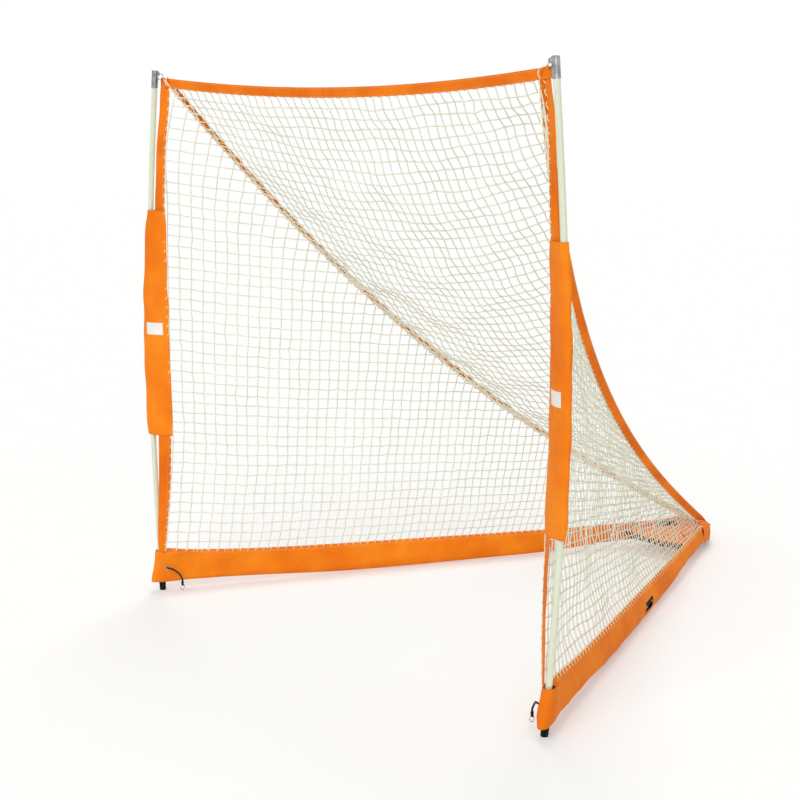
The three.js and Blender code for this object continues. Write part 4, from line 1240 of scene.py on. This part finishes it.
@dataclass
class BackNet:
    """The back net, between the two ridges, in bands that each bend between the two halves."""

    netting: Netting = field(default_factory=Netting)
    band: int = 3  # rows of mesh in a band
    first: float = 34.5  # the first row's mesh along the ridge, in millimetres
    grow: float = 0.12  # how much further each row is, in millimetres
    far: float = 1.045  # where the net ends, as a share of the ridge

    def patches(self) -> list[tuple[list[Patch], float]]:
        """The bands, from the top down.

        Row r is first r + grow r^2 down the ridge. Columns stand a mesh apart, all straight back,
        so each one ends where it meets a ridge.

        Returns:
            Each band's patches, and the net's half width at its middle, in millimetres.
        """
        net, mesh = self.netting, self.netting.mesh
        v = np.linspace(0, self.far, 800)
        path = SHAPE.ridge_edge(v, -1)
        far = distances(path)
        root = math.sqrt(self.first**2 + 4 * self.grow * far[-1])
        down = int((root - self.first) / 2 / self.grow)
        out = np.array([0.0, 0.65, 0.76])

        def lead(r: Array) -> Array:
            """How far down the ridge row r is."""
            return self.first * r + self.grow * r**2

        def half(r: Array) -> Array:
            """The net's half width at row r."""
            return np.interp(lead(r), far, path[:, 0])

        every = np.linspace(0, down, 900)
        widths = half(every)

        def place(r: Array, c: Array) -> Array:
            """Points at rows r and columns c.

            Args:
                r: row numbers.
                c: column numbers.

            Returns:
                The points.
            """
            reach = half(r)
            u = np.clip((c * mesh / reach + 1) / 2, 0, 1)
            fade = ease(np.minimum(u, 1 - u) * 2 * reach / 60) * ease(r / 1.2)
            points = SHAPE.back_net(u, np.interp(lead(r), far, v))
            return net.moved(points, r, c + 60, fade, out, 23)

        bands = []
        for start in range(0, down, self.band):
            stop = min(start + self.band, down)
            most = int(half(np.array(float(start))) / mesh)
            rows = start + net.numbers(stop - start)
            r, c = numbered(rows, np.arange(-most, most + 1.0))
            keep = half(r) > np.abs(c) * mesh + 4
            end = ends_at(keep, 0)
            r_end = np.interp(np.abs(c) * mesh, widths[::-1], every[::-1])
            down_net = place(np.where(end, np.minimum(r_end, r), r), c)
            knots = (r % 1 == 0) & ~end
            standing = net.twine(np.swapaxes(down_net, 0, 1), (keep | end).T, knots.T, out)
            rows = np.arange(max(start, 1), stop if stop < down else stop + 1)
            numbers = net.numbers(most + 1)
            r, c = numbered(rows, np.concatenate([-numbers[:0:-1], numbers]))
            edge = half(r) / mesh
            inside = np.abs(c) < edge - 0.1
            keep = inside | ends_at(inside) | ends_at(inside[:, ::-1])[:, ::-1]
            across = place(r, np.clip(c, -edge, edge))
            laid = net.twine(across, keep, (c % 1 == 0) & inside, out)
            bands.append(([standing, laid], float(half(np.array(start + self.band / 2)))))
        return bands


# ---------------------------------------------------------------- tapes and lacing


@dataclass
class Lacing:
    """A cord wound round an edge, or sewn to and fro across a face."""

    wire: float = 1.5
    pitch: float = 19.0
    steps: int = 10  # points to a turn
    sides: int = 5

    def wound(self, line: Array, across: Array, proud: Array, wide: float, thick: float) -> Patch:
        """A spiral: line + wide cos(a) across + thick sin(a) proud, where a is 2 pi length / pitch.

        Args:
            line: the edge that it winds round.
            across: direction of its wide way at each point.
            proud: direction of its thin way.
            wide: reach along across.
            thick: reach along proud.

        Returns:
            The patch.
        """
        path, at = resampled(line, self.pitch / self.steps)
        place, index = at * (len(line) - 1), np.arange(len(line))
        side, out = (
            unit(np.stack([np.interp(place, index, d[:, k]) for k in range(3)], axis=1))
            for d in (across, proud)
        )
        turn = (2 * np.pi * np.arange(len(path)) / self.steps)[:, None]
        spiral = path + side * wide * np.cos(turn) + out * thick * np.sin(turn)
        return cord_tube(spiral, self.wire, tangents(path), self.sides)


def strip(line: Array, across: Array, wide: float | Array) -> Patch:
    """A flat tape: line + s wide across, s from -1/2 to 1/2, wavy by under a millimetre.

    Args:
        line: the tape's middle line.
        across: direction of its width at each point.
        wide: its width, one for all or one at each point.

    Returns:
        A single layer whose outside is along x across.
    """
    s = np.linspace(-0.5, 0.5, 9)
    reach = np.broadcast_to(np.asarray(wide, float), (len(line),))[:, None] * s
    points = line[:, None] + across[:, None] * reach[..., None]
    normal = unit(np.cross(tangents(line), across))
    far, full, cup = distances(line)[:, None], float(np.max(wide)), 0.6
    wave = ripple(far / 160, s[None] * 1.2, int(full) + len(line)) * cup
    points = points + normal[:, None] * wave[..., None]
    uv = np.stack(np.broadcast_arrays(far, reach + full / 2), axis=2) * MM
    return grid(points, uv)


@dataclass
class Tapes:
    """The webbing tapes that edge the net, with their lacing."""

    looks: Looks
    thick: float = 2.0

    def band(
        self, name: str, patch: Patch, side: Side | None = None, look: str = "webbing"
    ) -> bpy.types.Object:
        """Builds a tape in place of the CAD node of that name."""
        finish = self.looks[look]
        return build(f"{name}_band", [patch], finish, side, name, self.thick)

    def lace(self, name: str, patches: list[Patch], side: Side | None = None) -> bpy.types.Object:
        """Builds a piece of lacing."""
        return build(f"{name}_lacing", patches, self.looks["lacing"], side)

    def top(self) -> None:
        """The top tape, hung between the corners, and the lacing along its lower edge."""
        x = np.linspace(-SHAPE.tape_end, SHAPE.tape_end, 180)
        line = SHAPE.top_middle(x)
        up = np.broadcast_to(UP, line.shape)
        tape = self.band("top_tape", strip(line, up, SHAPE.tape_wide))
        inner = np.abs(x) < SHAPE.tape_end - 44
        low = (line - up * (SHAPE.tape_wide / 2 + 0.5) + [0, 2.5, 0])[inner]
        back = np.broadcast_to([0.0, 1.0, 0.0], low.shape)
        wound = Lacing(wire=1.4, pitch=38).wound(low, up[inner], back, 2.6, 2.4)
        lace = self.lace("top_tape", [wound])
        for piece in (tape, lace):
            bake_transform(piece)

    def mouth(self, side: Side) -> None:
        """A mouth tape and the lacing that gathers the net on its inner edge.

        Args:
            side: its half.
        """
        height = np.linspace(SHAPE.mouth_from, SHAPE.mouth_to, 170)
        line, across = SHAPE.mouth_middle(height), SHAPE.mouth_across(height)
        patch = strip(line, -across, 2 * smooth(SHAPE.mouth_half, height))
        tape = self.band("mouth_tape", patch, side, "wide_webbing")
        laced = height > SHAPE.mouth_from + 29
        edge, across = SHAPE.mouth_edge(height, 0.5)[laced], across[laced]
        wound = Lacing(pitch=34).wound(edge, across, np.cross(across, UP), 4.5, 3)
        lace = self.lace("mouth", [wound], side)

    def ridge(self, side: Side) -> None:
        """A ridge tape, with cords along its inner face's edges and lacing across between them.

        Args:
            side: its half.
        """
        sewn = 250  # points before the boot, where the tape carries lacing
        t = np.concatenate([np.linspace(-0.012, 0.962, sewn), np.linspace(0.966, 1.0165, 20)])
        line, across, proud = SHAPE.ridge(t), SHAPE.ridge_across(t), SHAPE.ridge_proud(t)
        patch = strip(line, -across, SHAPE.ridge_wide - 6 * ease((t - 0.96) / 0.04))
        tape = self.band("ridge_tape", patch, side)
        t, line, across, proud = (a[:sewn] for a in (t, line, across, proud))
        cords = [cord_tube(line + across * s + proud * 2.3, 1.6, proud, 8) for s in (-14.5, 13)]
        edge = line - across * SHAPE.ridge_lace
        cords.append(Lacing(pitch=30, wire=1.25).wound(edge, across, proud, 4.4, 3.2))
        step, pitch = 4, 66
        path, at = resampled(line, step)
        here = lerp(t[0], t[-1], at)
        out, beside = SHAPE.ridge_proud(here), SHAPE.ridge_across(here)
        for start in (0.0, 0.5):
            swing = np.sin(2 * np.pi * (np.arange(len(path)) * step / pitch + start))
            zigzag = path + beside * (swing * 13.5 - 0.7)[:, None]
            cords.append(cord_tube(zigzag + out * (3.4 + start * 1.5), 1.35, out, 6))
        lace = self.lace("ridge", cords, side)

    def hem(self, side: Side) -> None:
        """The lacing that ties the side net to the skirt's top, bolder on the right.

        Args:
            side: its half.
        """
        along = np.linspace(SHAPE.net_from + 2, SHAPE.skirt_end - 4, 400)
        line = SHAPE.on_leg(along, 0, SHAPE.skirt_top(along) - 4)
        wire, deep = (2.0, 9) if side is Side.RIGHT else (1.3, 5.5)
        out, up = (np.broadcast_to(d, line.shape) for d in (SHAPE.leg_out, UP))
        self.lace("hem", [Lacing(pitch=30, wire=wire).wound(line, up, out, deep, 5.4)], side)


# ---------------------------------------------------------------- cloth


def cloth_section(share: Array, half: Array, top: Array, low: Array) -> tuple[Array, Array]:
    """Section of a cloth sleeve round a leg, as (out, height).

    Below the leg's axis it is half an ellipse. Above, its half width narrows by rise^1.5.

    Args:
        share: share of a turn, from the bottom, outwards first.
        half: half width at the leg's axis.
        top: height of the top.
        low: height of the bottom.

    Returns:
        Out from the leg and height at each share.
    """
    turn, axis, top_half = 2 * np.pi * share, SHAPE.leg_height, 2.8
    side, rise = np.sin(turn), -np.cos(turn)
    narrow = lerp(1.0, top_half / half, np.maximum(rise, 0) ** 1.5)
    upper = np.sign(side) * half * narrow * np.minimum(1, np.abs(side) * 4)
    out = np.where(rise <= 0, half * side, upper)
    return out, axis + np.where(rise <= 0, axis - low, top - axis) * rise


@dataclass
class Cloths:
    """The orange cloth: skirts, corner pockets, pole sleeves, and the apex boot and panel."""

    looks: Looks
    wall: float = 1.4
    boot_start: float = 20.5  # the boot's half width where it overlaps the skirt
    window: tuple[float, float] = (1128.5, 1231.5)  # a skirt's window, along the leg
    window_shares: tuple[float, float] = (0.1786, 0.3025)  # the same, round the leg
    rear: float = 0.22  # share of the pocket's turn from its seam to a rear corner

    def cloth(
        self, name: str, patch: Patch, side: Side | None = None, stands_for: str = ""
    ) -> bpy.types.Object:
        """Builds a piece of orange cloth from its outer layer."""
        return build(name, [patch], self.looks["cloth"], side, stands_for, self.wall, -1)

    def cut(
        self, patch: Patch, side: Side, flat: tuple[float, float],
        on: str,
    ) -> None:  # fmt: skip
        """Works out a gathered piece of cloth's area, no more than the area it was cut to, and the
        name of what it rests on; nothing more is done with them.

        Args:
            patch: its single layer.
            side: the half that it rides on.
            flat: width and length that it was cut to, in metres.
            on: what it rests on, without its side.
        """
        area = round(min(cloth_area(patch), flat[0] * flat[1]), 4)
        on = f"{side.body}_{on}"

    def skirt(self, side: Side) -> None:
        """A skirt round a base leg, with the window over the coupler.

        Args:
            side: its half.
        """
        spans = [np.linspace(16, 120, 30), np.linspace(120, SHAPE.skirt_end, 210), self.window]
        along = np.unique(np.concatenate(spans))
        share = np.unique(np.concatenate([np.linspace(0, 1, 57), self.window_shares]))
        a, s = numbered(along, share)
        half = smooth(((44, 22), (1600, 22), (1950, 19), (2300, 18.5)), a)
        top = SHAPE.skirt_top(a)
        out, height = cloth_section(s, half, top, SHAPE.skirt_low(a))
        front = 1 - ease((a - 36) / 75)
        outer, inner = smooth(SHAPE.pocket_out, height), smooth(SHAPE.pocket_in, height)
        wrap = np.where(out > 0, outer + 1.8, np.where(out < 0, -inner - 1.8, 0))
        full = np.minimum(1, np.abs(np.sin(2 * np.pi * s)) * 3)
        wrap = wrap * full + SHAPE.pole_lean(height) * math.cos(SHAPE.leg_angle)
        out = lerp(out, wrap, front)
        out[:, -1] = out[:, 0]
        wave = ripple(a / 210, height / 90, 5) * 1.3 + ripple(a / 60, height / 50, 6) * 0.4
        free = ease(np.abs(out) / 12) * ease((top - height) / 20) * (1 - front)
        out = out + np.sign(out) * (wave - 1.2) * free
        uv = np.stack([a, top - height], axis=2) * MM
        inside = []
        for edges, (low, high) in ((along, self.window), (share, self.window_shares)):
            middle = (edges[1:] + edges[:-1]) / 2
            inside.append((middle > low) & (middle < high))
        hole = np.logical_and.outer(*inside)
        patch = grid(SHAPE.on_leg(a, out, height), uv, around=True, hole=hole)
        skirt = self.cloth("leg_skirt_cloth", patch, side, "leg_skirt")
        self.cut(patch, side, (0.24, 2.11), "rear_leg_tube")

    def pocket(self, side: Side) -> None:
        """The pocket that takes the pole's foot: flat behind, rounded and flared in front.

        Its rear edge is an arch over the leg tube.

        Args:
            side: its half.
        """
        share, t = np.linspace(0, 1, 65), np.linspace(0, 1, 26)[:, None]
        turn = np.clip((share - self.rear) / (1 - 2 * self.rear), 0, 1) * np.pi
        part = np.minimum(np.minimum(share, 1 - share) / self.rear, 1)
        at_rear, flat, arch_half = part < 1, np.where(share < 0.5, part, -part), 16.5
        arch = np.sqrt(np.maximum(arch_half**2 - (part * 16.3) ** 2, 0))
        low = np.where(at_rear, SHAPE.leg_height + arch, SHAPE.pocket_low)
        height = lerp(low[None], SHAPE.pocket_high, t)
        up = (height - SHAPE.pocket_low) / (SHAPE.pocket_high - SHAPE.pocket_low)
        inner, outer = smooth(SHAPE.pocket_in, height), smooth(SHAPE.pocket_out, height)
        nose, half = lerp(40.0, 15.0, up), (inner + outer) / 2
        lean = SHAPE.pole_lean(height)
        middle = lean * math.cos(SHAPE.leg_angle) + (outer - inner) / 2
        ahead = lean * math.sin(SHAPE.leg_angle)
        out = middle + half * np.where(at_rear, flat * 0.94, np.cos(turn))
        behind = 34.0  # where the flat back stands, along the leg
        edge = behind * (1 - np.minimum(1, np.sin(turn) * 2.2))
        along = np.where(at_rear, behind, edge - ahead - nose * np.sin(turn))
        wave = ripple(share[None] * 3, height / 60, 9) * 1.1 * ease(t * 4) * ~at_rear
        points = SHAPE.on_leg(along - wave, out, height)
        points[:, -1] = points[:, 0]
        patch = grid(points, measured(points), around=True).turned_over()
        pocket = self.cloth("corner_pocket_cloth", patch, side, "corner_pocket")
        self.cut(patch, side, (0.2, 0.12), "corner_socket")

    def sleeve_skin(self, height: Array, share: Array, proud: float = 0.0) -> Array:
        """Points of a sleeve: a squarish loop (power 2 / 2.6) round the pole and the tape's edge.

        Args:
            height: heights, within the sleeve's.
            share: share of a turn, from the outside, rear first.
            proud: how far the points stand off the cloth.

        Returns:
            The points.
        """
        height, share = np.broadcast_arrays(height, share)
        t = SHAPE.sleeve_share(height)
        pole, tape = vec(SHAPE.pole_x(height), 0, height), SHAPE.mouth_edge(height)
        middle_reach = (np.linalg.norm(pole - tape, axis=2) + SHAPE.pole_radius) / 2
        away = unit(pole - tape)
        end = np.minimum(t, 1 - t)
        gather = 3.5 * (1 - ease(end * 16))
        half = middle_reach + SHAPE.sleeve_slack(t) - gather
        middle = tape + away * middle_reach[..., None]
        through = vec(-away[..., 1], away[..., 0], 0)
        turn = 2 * np.pi * share
        c, s = (np.sign(x) * np.abs(x) ** (2 / 2.6) for x in (np.cos(turn), np.sin(turn)))
        wave = ripple(share * 2.5, height / 150, 31) * 1.5
        wave = wave + ripple(share * 7, height / 420, 32) * 1.1 * (1 - ease(end * 6)) + proud - 1.2
        trim = SHAPE.sleeve_trim(t) * (c < 0)
        thin = lerp(0.4, 1.0, ease((c + 1) / 1.3))
        points = middle + away * (c * (half + wave - trim))[..., None]
        return points + through * (s * thin * (17 - gather * 0.2 + wave))[..., None]

    def sleeve(self, side: Side) -> None:
        """The sleeve round a pole and the mouth tape's edge, with a blank white patch in front.

        Args:
            side: its half.
        """
        height = np.linspace(SHAPE.sleeve_from, SHAPE.sleeve_to, 120)[:, None]
        points = self.sleeve_skin(height, np.linspace(0, 1, 73)[None])
        points[:, -1] = points[:, 0]
        patch = grid(points, measured(points), around=True).turned_over()
        sleeve = self.cloth("pole_sleeve_cloth", patch, side, "pole_sleeve")
        height = np.linspace(963, 1008, 12)[:, None]
        label = self.sleeve_skin(height, np.linspace(0.668, 0.832, 14)[None], 1.3)
        label = [grid(label, measured(label)).turned_over()]
        white = build("sleeve_patch", label, self.looks["patch"], side, "", 0.9, -1)
        self.cut(patch, side, (0.26, 0.83), "upper_pole")

    def boot(self) -> None:
        """The apex boot: cloth over both legs' rear ends and the hinge, in one draped sheet.

        Its section runs from the left leg's outer foot over that leg, across the middle and over
        the right leg: the higher of two round humps and a saddle. Behind the hinge it closes in a
        half circle that tapers down to the rear foot.
        """
        hinge, reach, power = SHAPE.depth, 27.0, 2.5
        first = float(SHAPE.on_leg(SHAPE.skirt_end - 6, 0, 0)[1])
        turn = np.concatenate([np.zeros(56), np.linspace(0, np.pi / 2, 18)[1:]])[:, None]
        y = np.concatenate([np.linspace(first, hinge, 56), np.full(17, hinge)])[:, None]
        share = np.linspace(-1, 1, 121)[None]
        back = y / math.cos(SHAPE.leg_angle)
        part = np.clip((back - SHAPE.skirt_end) / SHAPE.skirt_stop, 0, 1)
        centre = SHAPE.on_leg(back, 0, 0)[..., 0] - 17 * ease((y - hinge + 28) / 28)
        half = lerp(self.boot_start, 24.0, ease(part * 1.3))
        top = smooth(SHAPE.boot_crest, part)
        low = lerp(30.0, 8.0, ease(part * 1.6 - 0.5))
        mid, wide = centre * np.cos(turn), half * lerp(0.06, 1, np.cos(turn))
        x = np.sign(share) * (mid + wide) * np.abs(share) ** 0.9
        past = np.clip(np.abs(np.abs(x) - mid) / wide, 0, 1)
        over = lerp(low, top, (1 - past**power) ** (1 / power))
        valley = 70.5 + 14 * (x / np.maximum(mid, 1)) ** 2
        saddle = lerp(valley, top - 4, ease((64 - centre) / 56))
        z = np.where(np.abs(x) < mid, np.maximum(over, saddle), over)
        z = lerp(low, z, np.cos(turn) ** 0.4)
        z = z + ripple(x / 60, y / 60 + 0 * x, 41) * 1.1 * ease((z - 30) / 40) * np.cos(turn)
        narrow = 1 - 0.14 * ease(part) * (1 - np.clip((z - 8) / 46, 0, 1))
        points = vec(x * narrow, y + reach * np.sin(turn) * narrow, z)
        patch = grid(points, measured(points)).turned_over()
        boot = self.cloth("apex_boot_cover", patch, None, "apex_boot")
        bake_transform(boot)
        area = cloth_area(patch)

    def slot(self, side: Side) -> None:
        """The dark oval on a leg's inner side, where the boot's cord comes out, as a thin lens of
        black rubber. It stands for an opening whose dark inside is partly the black hub's parts and
        partly painted shade.

        Args:
            side: its half.
        """
        radius, turn = np.linspace(0, 1, 7)[:, None], np.linspace(0, 2 * np.pi, 41)[None]
        along = SHAPE.leg_length - 175 + 50 * radius * np.cos(turn)
        z = 82 + 13 * radius * np.sin(turn)
        skin = self.boot_start * (1 - ((z - 30) / 76) ** 2.5) ** (1 / 2.5)
        points = SHAPE.on_leg(along, -skin - 1.4 * (1 - radius**2) - 0.9, z)
        patch = grid(points, measured(points), around=True)
        # Partly painted shade: a black lens stands where the opening's inside is dark with shadow
        # and black parts.
        build("boot_slot_shade_lens", [patch], self.looks["rubber"], side, "", 1.2, -1)

    def panel(self) -> None:
        """The panel between the legs ahead of the hinge, with a dark lip hanging at its front:
        painted shade for the shadowed hollow under its edge.
        """
        last = SHAPE.on_leg(SHAPE.skirt_end + 30, 0, 0)[1]
        y = np.linspace(SHAPE.depth - 345, last, 24)[:, None]
        s = np.linspace(-1, 1, 41)[None]
        lean = math.cos(SHAPE.leg_angle)
        x = (SHAPE.on_leg(y / lean, 0, 0)[..., 0] - 21.5 / lean) * s
        points = vec(x, y + 0 * x, 68 + 9 * s**2 + ripple(x / 110, y / 110, 44) * 1.2)
        patch = grid(points, measured(points)).turned_over()
        panel = self.cloth("apex_panel_cloth", patch)
        # Painted shade: a dark strip hangs from the panel's front edge where the hollow beneath is
        # in shadow.
        fall = np.linspace(0, 1, 9)[:, None]
        edge = points[:1] + vec(0, 3 + 9 * fall**2, -1.6 - 26 * fall) * np.ones((1, s.size, 1))
        front = [grid(edge, measured(edge))]
        binding = self.looks["binding"]
        lip = build("apex_panel_painted_shade_lip", front, binding, None, "", self.wall, -1)
        for piece in (panel, lip):
            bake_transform(piece)
        area = cloth_area(patch)


# ---------------------------------------------------------------- rods, hardware and cords


@dataclass
class Rods:
    """The bowed poles, rounder than their CAD solids."""

    looks: Looks

    def pole(self, side: Side, name: str, low: float, high: float) -> None:
        """One section of a pole: a circle carried along the bowed line.

        Args:
            side: its half.
            name: the CAD node's name without its side.
            low: height of its lower end.
            high: height of its upper end.
        """
        height = np.linspace(low, high, 90)
        line = vec(SHAPE.pole_x(height), 0, height)
        patch = cord_tube(line, SHAPE.pole_radius, [0.0, 1.0, 0.0], 40)
        build(f"{name}_rod", [patch], self.looks["rod"], side, name)


@dataclass
class TieDown:
    """A short tie-down cord through the pocket's grommet, with its crimp and ring."""

    looks: Looks
    radius: float = 3.3
    grommet: float = 88.0  # height of the grommet
    half_wide: tuple[float, float] = (26.0, 16.5)  # the pocket's half width, low and high
    route: tuple[tuple[float, float, float], ...] = (
        (14, -5, 87.1), (14, 0, 88), (14.5, 5, 88.9), (19.5, 12.5, 89), (33, 20.5, 85),
        (51, 30, 72), (60, 37, 58), (63, 40, 50), (63, 40, 43),
    )  # fmt: skip

    def line(self) -> Array:
        """The cord's middle: a Catmull-Rom curve (centripetal) through the route's points.

        Returns:
            The curve's points, eight to a stretch of the route.
        """
        up = (self.grommet - SHAPE.pocket_low) / (SHAPE.pocket_high - SHAPE.pocket_low)
        half = lerp(*self.half_wide, up)
        lean = float(SHAPE.pole_lean(self.grommet)) * math.cos(SHAPE.leg_angle)
        face = lean - (half - self.half_wide[1]) / 2 - half
        route = np.array(self.route, float)
        stops = SHAPE.on_leg(route[:, 0], face - route[:, 1], route[:, 2])
        ends = np.vstack([2 * stops[0] - stops[1], stops, 2 * stops[-1] - stops[-2]])
        t = np.linspace(0, 1, 9)[:-1, None]
        pieces = []
        for p0, p1, p2, p3 in zip(ends, ends[1:], ends[2:], ends[3:]):
            d = [max(np.linalg.norm(b - a) ** 0.5, 1e-4) for a, b in ((p0, p1), (p1, p2), (p2, p3))]
            m1 = ((p1 - p0) / d[0] - (p2 - p0) / (d[0] + d[1]) + (p2 - p1) / d[1]) * d[1]
            m2 = ((p2 - p1) / d[1] - (p3 - p1) / (d[1] + d[2]) + (p3 - p2) / d[2]) * d[1]
            a, b = 2 * (p1 - p2) + m1 + m2, 3 * (p2 - p1) - 2 * m1 - m2
            pieces.append(a * t**3 + b * t**2 + m1 * t + p1)
        return np.vstack([*pieces, stops[-1:]])

    def make(self, side: Side) -> None:
        """Args:
            side: its half.
        """
        line, _ = resampled(self.line(), 2.4)
        patch = cord_tube(line, self.radius, [0.0, 1.0, 0.2], 16)
        cord = build("tie_rope", [patch], self.looks["cording"], side, "tie_cord")


HARDWARE = {
    "steel": "front_leg_tube rear_leg_tube corner_socket hinge_yoke hinge_tongue",
    "rubber": "leg_coupler front_foot rear_foot",
    "moulded": "tie_crimp",
    "bright": "snap_button button_spring coupler_rivet pole_ferrule pole_cap corner_link "
    "tie_grommet tie_ring hinge_washer hinge_bolt",
}


@dataclass
class Hardware:
    """The rigid CAD nodes that stay, each with its finish."""

    looks: Looks

    def dress(self, nodes: dict[str, bpy.types.Object]) -> int:
        """Gives each node its finish.

        Args:
            nodes: the CAD nodes by name.

        Returns:
            How many were dressed.
        """
        finish_of = {part: look for look, parts in HARDWARE.items() for part in parts.split()}
        count = 0
        for name, node in nodes.items():
            look = finish_of.get(name.removeprefix("left_").removeprefix("right_"))
            if look:
                for place in node.material_slots:
                    place.material = self.looks[look]
                count += 1
        return count


# ---------------------------------------------------------------- studio


def toward(azimuth: float, elevation: float) -> Vector:
    """Direction by degrees of azimuth, from -Y towards +X, and of elevation."""
    az, el = math.radians(azimuth), math.radians(elevation)
    return Vector((math.sin(az) * math.cos(el), -math.cos(az) * math.cos(el), math.sin(el)))


@dataclass
class Studio:
    """Camera, lamps, pale floor and white surroundings."""

    azimuth: float = 46.523
    elevation: float = 10.181
    roll: float = 0.404
    lens: float = 68.65
    place: tuple[float, float, float] = (3.6605, -3.1508, 1.7189)  # metres, goal's frame

    def camera(self) -> None:
        """Puts the camera where the photograph was taken from."""
        az, roll = math.radians(self.azimuth), math.radians(self.roll)
        back, right = toward(self.azimuth, self.elevation), Vector((math.cos(az), math.sin(az), 0))
        up = back.cross(right)
        right, up = (
            math.cos(roll) * right + math.sin(roll) * up,
            -math.sin(roll) * right + math.cos(roll) * up,
        )
        data = bpy.data.cameras.new("camera")
        data.lens, data.sensor_width = self.lens, 36
        data.clip_start, data.clip_end = 0.05, 100
        camera = bpy.data.objects.new("camera", data)
        x, y, z = self.place
        turn = Matrix((right, up, back)).transposed().to_4x4()
        camera.matrix_world = Matrix.Translation((x, y - GOAL_LINE * MM, z)) @ turn
        bpy.context.scene.collection.objects.link(camera)
        bpy.context.scene.camera = camera

    def lamp(self, name: str, azimuth: float, elevation: float, power: float, soft: float) -> None:
        """Adds a far, soft lamp.

        Args:
            name: its name.
            azimuth: where it stands, in degrees from -Y towards +X.
            elevation: how high it stands, in degrees.
            power: its strength.
            soft: the angle that it fills, in degrees.
        """
        data = bpy.data.lights.new(name, "SUN")
        data.energy, data.angle = power, math.radians(soft)
        lamp = bpy.data.objects.new(name, data)
        way = toward(azimuth, elevation)
        lamp.matrix_world = way.to_track_quat("Z", "Y").to_matrix().to_4x4()
        bpy.context.scene.collection.objects.link(lamp)

    def lamps(self) -> None:
        """A key lamp from the camera's left, a low fill beside the camera, and one from behind."""
        self.lamp("key_lamp", 20, 42, 1.12, 35)
        self.lamp("fill_lamp", 52, 22, 0.42, 45)
        self.lamp("top_lamp", -136, 57, 0.96, 24)

    def surroundings(self) -> None:
        """White for the camera and for gloss, a soft even light for everything else."""
        world = bpy.data.worlds.new("studio")
        bpy.context.scene.world = world
        world.use_nodes = True
        nodes = Nodes(world.node_tree)
        soft, white = (
            nodes.node("ShaderNodeBackground", {0: WHITE, 1: power}).outputs[0]
            for power in (0.5, 1.0)
        )
        nodes.node("ShaderNodeOutputWorld", {0: nodes.blended(nodes.seen(), soft, white)})

    def floor(self) -> None:
        """A plain pale floor that keeps the object's shadow and is white away from it."""
        size, own_glow = 30.0, 0.25
        mesh = bpy.data.meshes.new("floor")
        corners = [(-size, -size, 0), (size, -size, 0), (size, size, 0), (-size, size, 0)]
        mesh.from_pydata(corners, [], [(0, 1, 2, 3)])
        floor = bpy.data.objects.new("floor", mesh)
        bpy.context.scene.collection.objects.link(floor)
        recipe = Recipe("pale_floor")
        grain = recipe.noise(4, 3)
        cloud = recipe.spread(grain, 0.3, 0.7, 0, 0.15)
        recipe.set(
            Base_Color=recipe.mix(cloud, colour(250, 250, 249), colour(244, 244, 243)),
            Roughness=recipe.spread(grain, 0.3, 0.7, 0.8, 0.9),
            Specular_IOR_Level=0.0,
        )
        glow = recipe.node("ShaderNodeEmission", {"Color": WHITE, "Strength": 1.0}).outputs[0]
        share = recipe.times(recipe.seen(), own_glow)
        mixed = recipe.blended(share, recipe.shader.outputs[0], glow)
        recipe.feed(recipe.output.inputs["Surface"], mixed)
        mesh.materials.append(recipe.material)

    def make(self) -> None:
        """Builds the whole studio."""
        self.camera()
        self.lamps()
        self.surroundings()
        self.floor()
        bpy.context.scene.view_settings.view_transform = "Standard"


def main() -> None:
    """Builds the goal's pieces in order."""
    logging.basicConfig(level=logging.INFO, format="%(name)s: %(message)s")
    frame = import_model()
    Studio().make()
    looks = {name: finish.material() for name, finish in FINISHES.items()}
    tie_down = TieDown(looks)
    for side in Side:
        tie_down.make(side)
    LOG.info("tie-down cords")
    LOG.info("dressed %d CAD nodes", Hardware(looks).dress(frame["nodes"]))
    rods, tapes, cloths = Rods(looks), Tapes(looks), Cloths(looks)
    side_nets = {Side.LEFT: SideNet(drop=0.12), Side.RIGHT: SideNet(drop=0.75)}
    for side in Side:
        rods.pole(side, "lower_pole", 59, 999.5)
        rods.pole(side, "upper_pole", 1000.5, 1897)
    LOG.info("poles")
    cloths.boot()
    cloths.panel()
    for side in Side:
        cloths.slot(side)
    for side in Side:
        cloths.skirt(side)
        cloths.pocket(side)
        cloths.sleeve(side)
    LOG.info("cloth pieces")
    tapes.top()
    for side in Side:
        tapes.mouth(side)
        tapes.ridge(side)
        tapes.hem(side)
    LOG.info("tapes and lacing")
    twine = looks["netting"]
    for side in Side:
        build("side_mesh", side_nets[side].patches(), twine, side, "side_net")
    for k, (patches, half) in enumerate(BackNet().patches()):
        stands_for = "" if k else "back_net"
        band = build(f"back_mesh_{k + 1:02d}", patches, twine, None, stands_for)
        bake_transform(band)
    LOG.info("nets")


if __name__ == "__main__":
    main()
